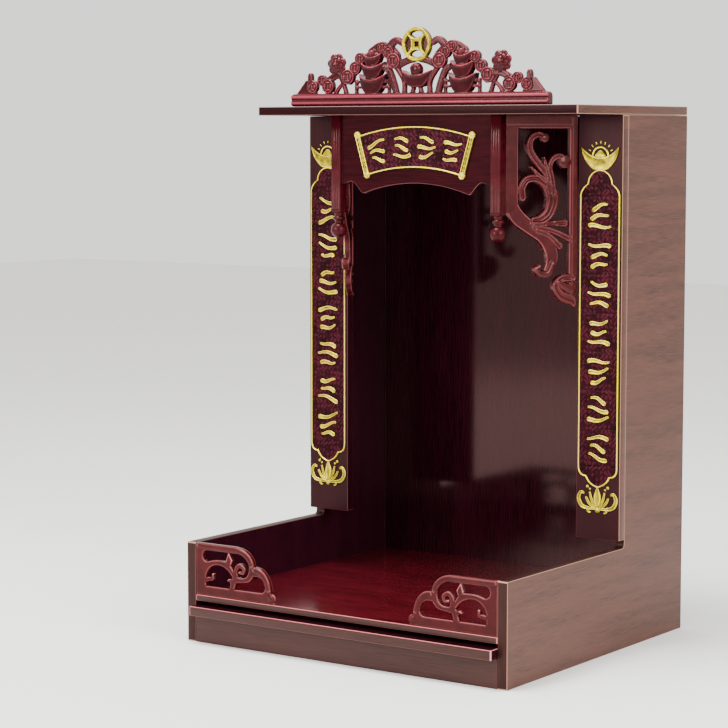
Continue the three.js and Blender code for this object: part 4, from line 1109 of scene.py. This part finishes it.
def half_crown(form, side):
    """One side of the crown, from its end inwards: a slope with a peg, coins over stems, a flower,
    frets round a stack of three ingots under three pearls, and ribbons that run down from the
    top."""
    stack = 60.6
    slope = np.array([(168.5, 13), (154, 30), (147, 29), (138, 13)])
    form.polygon(slope * (side, 1), 7.6, CROWN_BACK)
    lines = [
        ([(147.7, 24, 6), (147.7, 33, 6.4), (147.7, 36, 5)], 8.2, 1.0),
        ([(126, 27, 8), (114, 34, 8), (104, 35, 7), (94, 34, 8)], 6.8, 1.2),
        ([(110, 42, 5), (106, 34, 5), (101, 24, 4.5), (97, 13, 5)], 6.8, 1.0),
        ([(114, 13, 5), (107, 22, 4), (99, 27, 4), (92, 26, 4)], 6.4, 1.0),
        ([(88, 36, 8), (80, 46, 9), (73, 52, 8)], 5.6, 0.8),
        ([(62, 60, 12), (50, 66, 12), (38, 62, 14), (28, 56, 10)], 5.6, 0.8),
        ([(41, 60, 9), (34, 70, 9), (27, 73, 8), (21, 70, 7)], 6.4, 1.8),
        ([(46, 44, 6), (38, 39, 8), (32, 26, 8), (28, 13, 8)], 6.4, 2.0),
        ([(30, 46, 7), (24, 38, 6), (17.5, 27, 5.5), (17, 13, 6)], 6.4, 1.8),
        ([(24, 46, 8), (14, 50, 8), (5, 51.5, 7)], 6.4, 1.4)]
    for line, height, crest in lines:
        form.limb(np.array(line) * (side, 1, 1), height, CROWN_BACK, crest, groove=0.3)
    for fret in ([(83, 13), (83, 28.5)], [(38, 13), (38, 28.5)], [(83, 27), (70, 27)],
                 [(83, 21), (66, 21)], [(38, 27), (52, 27)], [(38, 21), (55, 21)]):
        form.limb([(u * side, v, 3.2) for u, v in fret], 7.4, CROWN_BACK)
    for u, v, radius, height in (
            (131.7, 29.6, 6.4, 7.6), (144.5, 22.5, 7.2, 8.6), (122.2, 22.8, 8.2, 8.8),
            (85, 43.1, 7.4, 7.4), (94.4, 33.1, 8.6, 8.6), (77.5, 53.5, 6.8, 8.2),
            (46.6, 65.5, 6.6, 7.4), (38.2, 59.6, 7.4, 8.0), (31, 50.2, 8.8, 9.0)):
        coin(form, u * side, v, radius, height)
    flower(form, 111 * side, 47.5, 13.2, 5.6)
    for v, width, height, depth in ((13.5, 37, 23, 15), (31, 32, 19, 14), (44, 26, 16, 13)):
        form.ball((stack * side, v + height * 0.72, CROWN_MIDDLE),
                  (width * 0.27, height * 0.3, 4.6), 0.3)
        ingot(form, stack * side, v, width, height, depth)
    for u, v, w, radii in ((60.4, 58.6, 7.2, 4.6), (66.5, 58.0, 6.2, (3.4, 2.4, 3.4)),
                           (54.3, 58.0, 6.2, (3.4, 2.4, 3.4))):
        form.ball((u * side, v, w), radii, fillet=0.4)


def great_coin(form, v0, radius):
    """A pierced coin: a ring, a sunk web, and a hollow-sided square whose corners reach the ring,
    with a smaller square sunk in it; above and below the square the web is open."""
    back, open_reach, corner = 2.0, 14.4, 11.6
    form.disc(0, v0, radius - 2, 4.6, back)
    lens = np.radians(np.linspace(52, 128, 13))
    for side in (-1, 1):
        rim = open_reach * np.stack([np.cos(lens), np.sin(lens)], -1)
        hollow = bezier((-8.6, 11.0), (0, 7.2, -4.5, 7.4), (8.6, 11.0, 4.5, 7.4))
        form.polygon(np.concatenate([rim, hollow]) * (1, side) + (0, v0), THROUGH, arris=0.5,
                     sink=True)
    form.ring(0, v0, radius - 2.2, 4.2, 8.0, back, crest=1.3)
    form.ring(0, v0, radius - 2.7, 1.0, 8.4, sink=True)
    form.polygon(square(0, v0, 5.4), 8.0, back)
    sides = np.array([(-corner, corner, 3.0), (-6, 6.9, 2.6), (0, 5.6, 2.6), (6, 6.9, 2.6),
                      (corner, corner, 3.0)])
    for c, n in QUARTER_TURNS:
        turned = sides @ np.array([(c, n, 0), (-n, c, 0), (0, 0, 1)])
        form.limb(turned + (0, v0, 0), 7.6, back, crest=1.2, fillet=0.4)
    form.polygon(square(0, v0, 2.9), 3.2, arris=0.5, sink=True)


def crown():
    """A moulding with a rail of two reeds, each half an ellipse across, both its sides, and in the
    middle a bowl with a ribbed shell under the great coin."""
    top = GREAT_COIN_AT + GREAT_COIN_RADIUS
    form = Moulding((-CROWN_HALF, 0, -2), (CROWN_HALF, top, 13), GRID * 1.2)

    def reeds(u, v):
        across = 2 * (v / REED % 1) - 1
        return REED_FACE + REED_RISE * np.sqrt(1 - across ** 2) + 0 * u

    form.polygon(rounded(rectangle(-CROWN_HALF, 0, CROWN_HALF, 2 * REED), [1, 1, 5, 5]), reeds, 0.0)
    for side in (-1, 1):
        half_crown(form, side)
        foot = np.array([(9, 13), (6, 22), (2, 22), (4, 13)])
        form.polygon(foot * (side, 1), 8.0, CROWN_BACK)
    for rib in np.radians(np.linspace(20, 160, 7)):
        form.ball((5.4 * np.cos(rib), 40 + 4.6 * np.sin(rib), 8.2), (2.2, 3.0, 3.4), fillet=0.3)
    form.ball((0, 40, 6.0), (8.4, 8.0, 5.6), fillet=0.5)
    ingot(form, 0, 20.5, 40, 19.6, 14.5)
    great_coin(form, GREAT_COIN_AT, GREAT_COIN_RADIUS)
    return form.surface()


crown_foot = corners("crown")[0][Z]
crown_setback, gilt_from = 18.7, 5.4
crown_place = Place((0, roof_front + crown_setback, crown_foot))

points, faces = crown()
# Painted highlights: paler on arrises that stand out, most where they face up, faintly all along
# the rail and strongly on the crests of its reeds.
on_rail = points[:, 1] < 2 * REED + 0.2
on_crest = points[:, 2] > REED_FACE + REED_RISE - 0.25
rail_highlight, crest_highlight = 0.04, 0.3
painted_highlight = np.maximum(highlighted_arrises(points, faces, 0.6),
                    on_rail * (rail_highlight + crest_highlight * on_crest))
middles = points[faces].mean(1)
from_coin = np.hypot(middles[:, 0], middles[:, 1] - GREAT_COIN_AT)
on_coin = (from_coin < GREAT_COIN_RADIUS + 0.3) & (middles[:, 2] > gilt_from)
shell("crown_moulding", points, faces, crown_place, [crown_plastic, gold],
      ["crown"], indices=on_coin.astype(int), arris=painted_highlight)


# Camera, light and floor


def lamp(name, place, target, size, power):
    """A square soft light aimed at a point."""
    light = bpy.data.lights.new(name, "AREA")
    light.shape = "SQUARE"
    light.size = size
    light.energy = power
    holder = add(name, light)
    holder.location = place
    aim = np.array(target) - np.array(place)
    holder.rotation_euler = (
        np.arccos(-aim[2] / np.linalg.norm(aim)), 0, np.arctan2(aim[1], aim[0]) - np.pi / 2)


lamp("key_from_the_right", (2.2, -0.7, 1.3), (0, 0, 0.35), 1.4, 60)
lamp("fill_from_the_front", (-0.9, -2.4, 1.2), (0, 0, 0.3), 1.2, 66)
lamp("above_the_tray", (-0.25, -0.4, 2.3), (0, -0.1, 0.2), 0.8, 70)

world = bpy.data.worlds.new("pale_room")
world.use_nodes = True
world.node_tree.nodes["Background"].inputs["Color"].default_value = colour("#f3f2f0")
world.node_tree.nodes["Background"].inputs["Strength"].default_value = 1.6
bpy.context.scene.world = world

floor_material, floor_tree, floor_here = begin("pale_matt_floor")
speck = node(floor_tree, "ShaderNodeTexNoise", [("Vector", floor_here), ("Scale", 40.0)])
close(floor_tree, "#f4f3f1", [(speck.outputs["Fac"], "#efeeec")], 0.8)
floor_reach = 6
floor_corners = [(x, y, 0) for x, y in square(0, 0, floor_reach)]
ground_mesh = bpy.data.meshes.new("pale_floor")
ground_mesh.from_pydata(floor_corners, [], [(0, 1, 2, 3)])
ground_mesh.materials.append(floor_material)
ground = add("pale_floor", ground_mesh)

camera_data = bpy.data.cameras.new("photo_camera")
camera_data.lens = 116.07
camera_data.sensor_width = 36
camera = add("photo_camera", camera_data)
camera_tilt, camera_heading = 5.563, 35.216
camera.location = (1.47912, -2.23734, 0.57693)
camera.rotation_euler = np.radians((90 - camera_tilt, 0, camera_heading))
bpy.context.scene.camera = camera
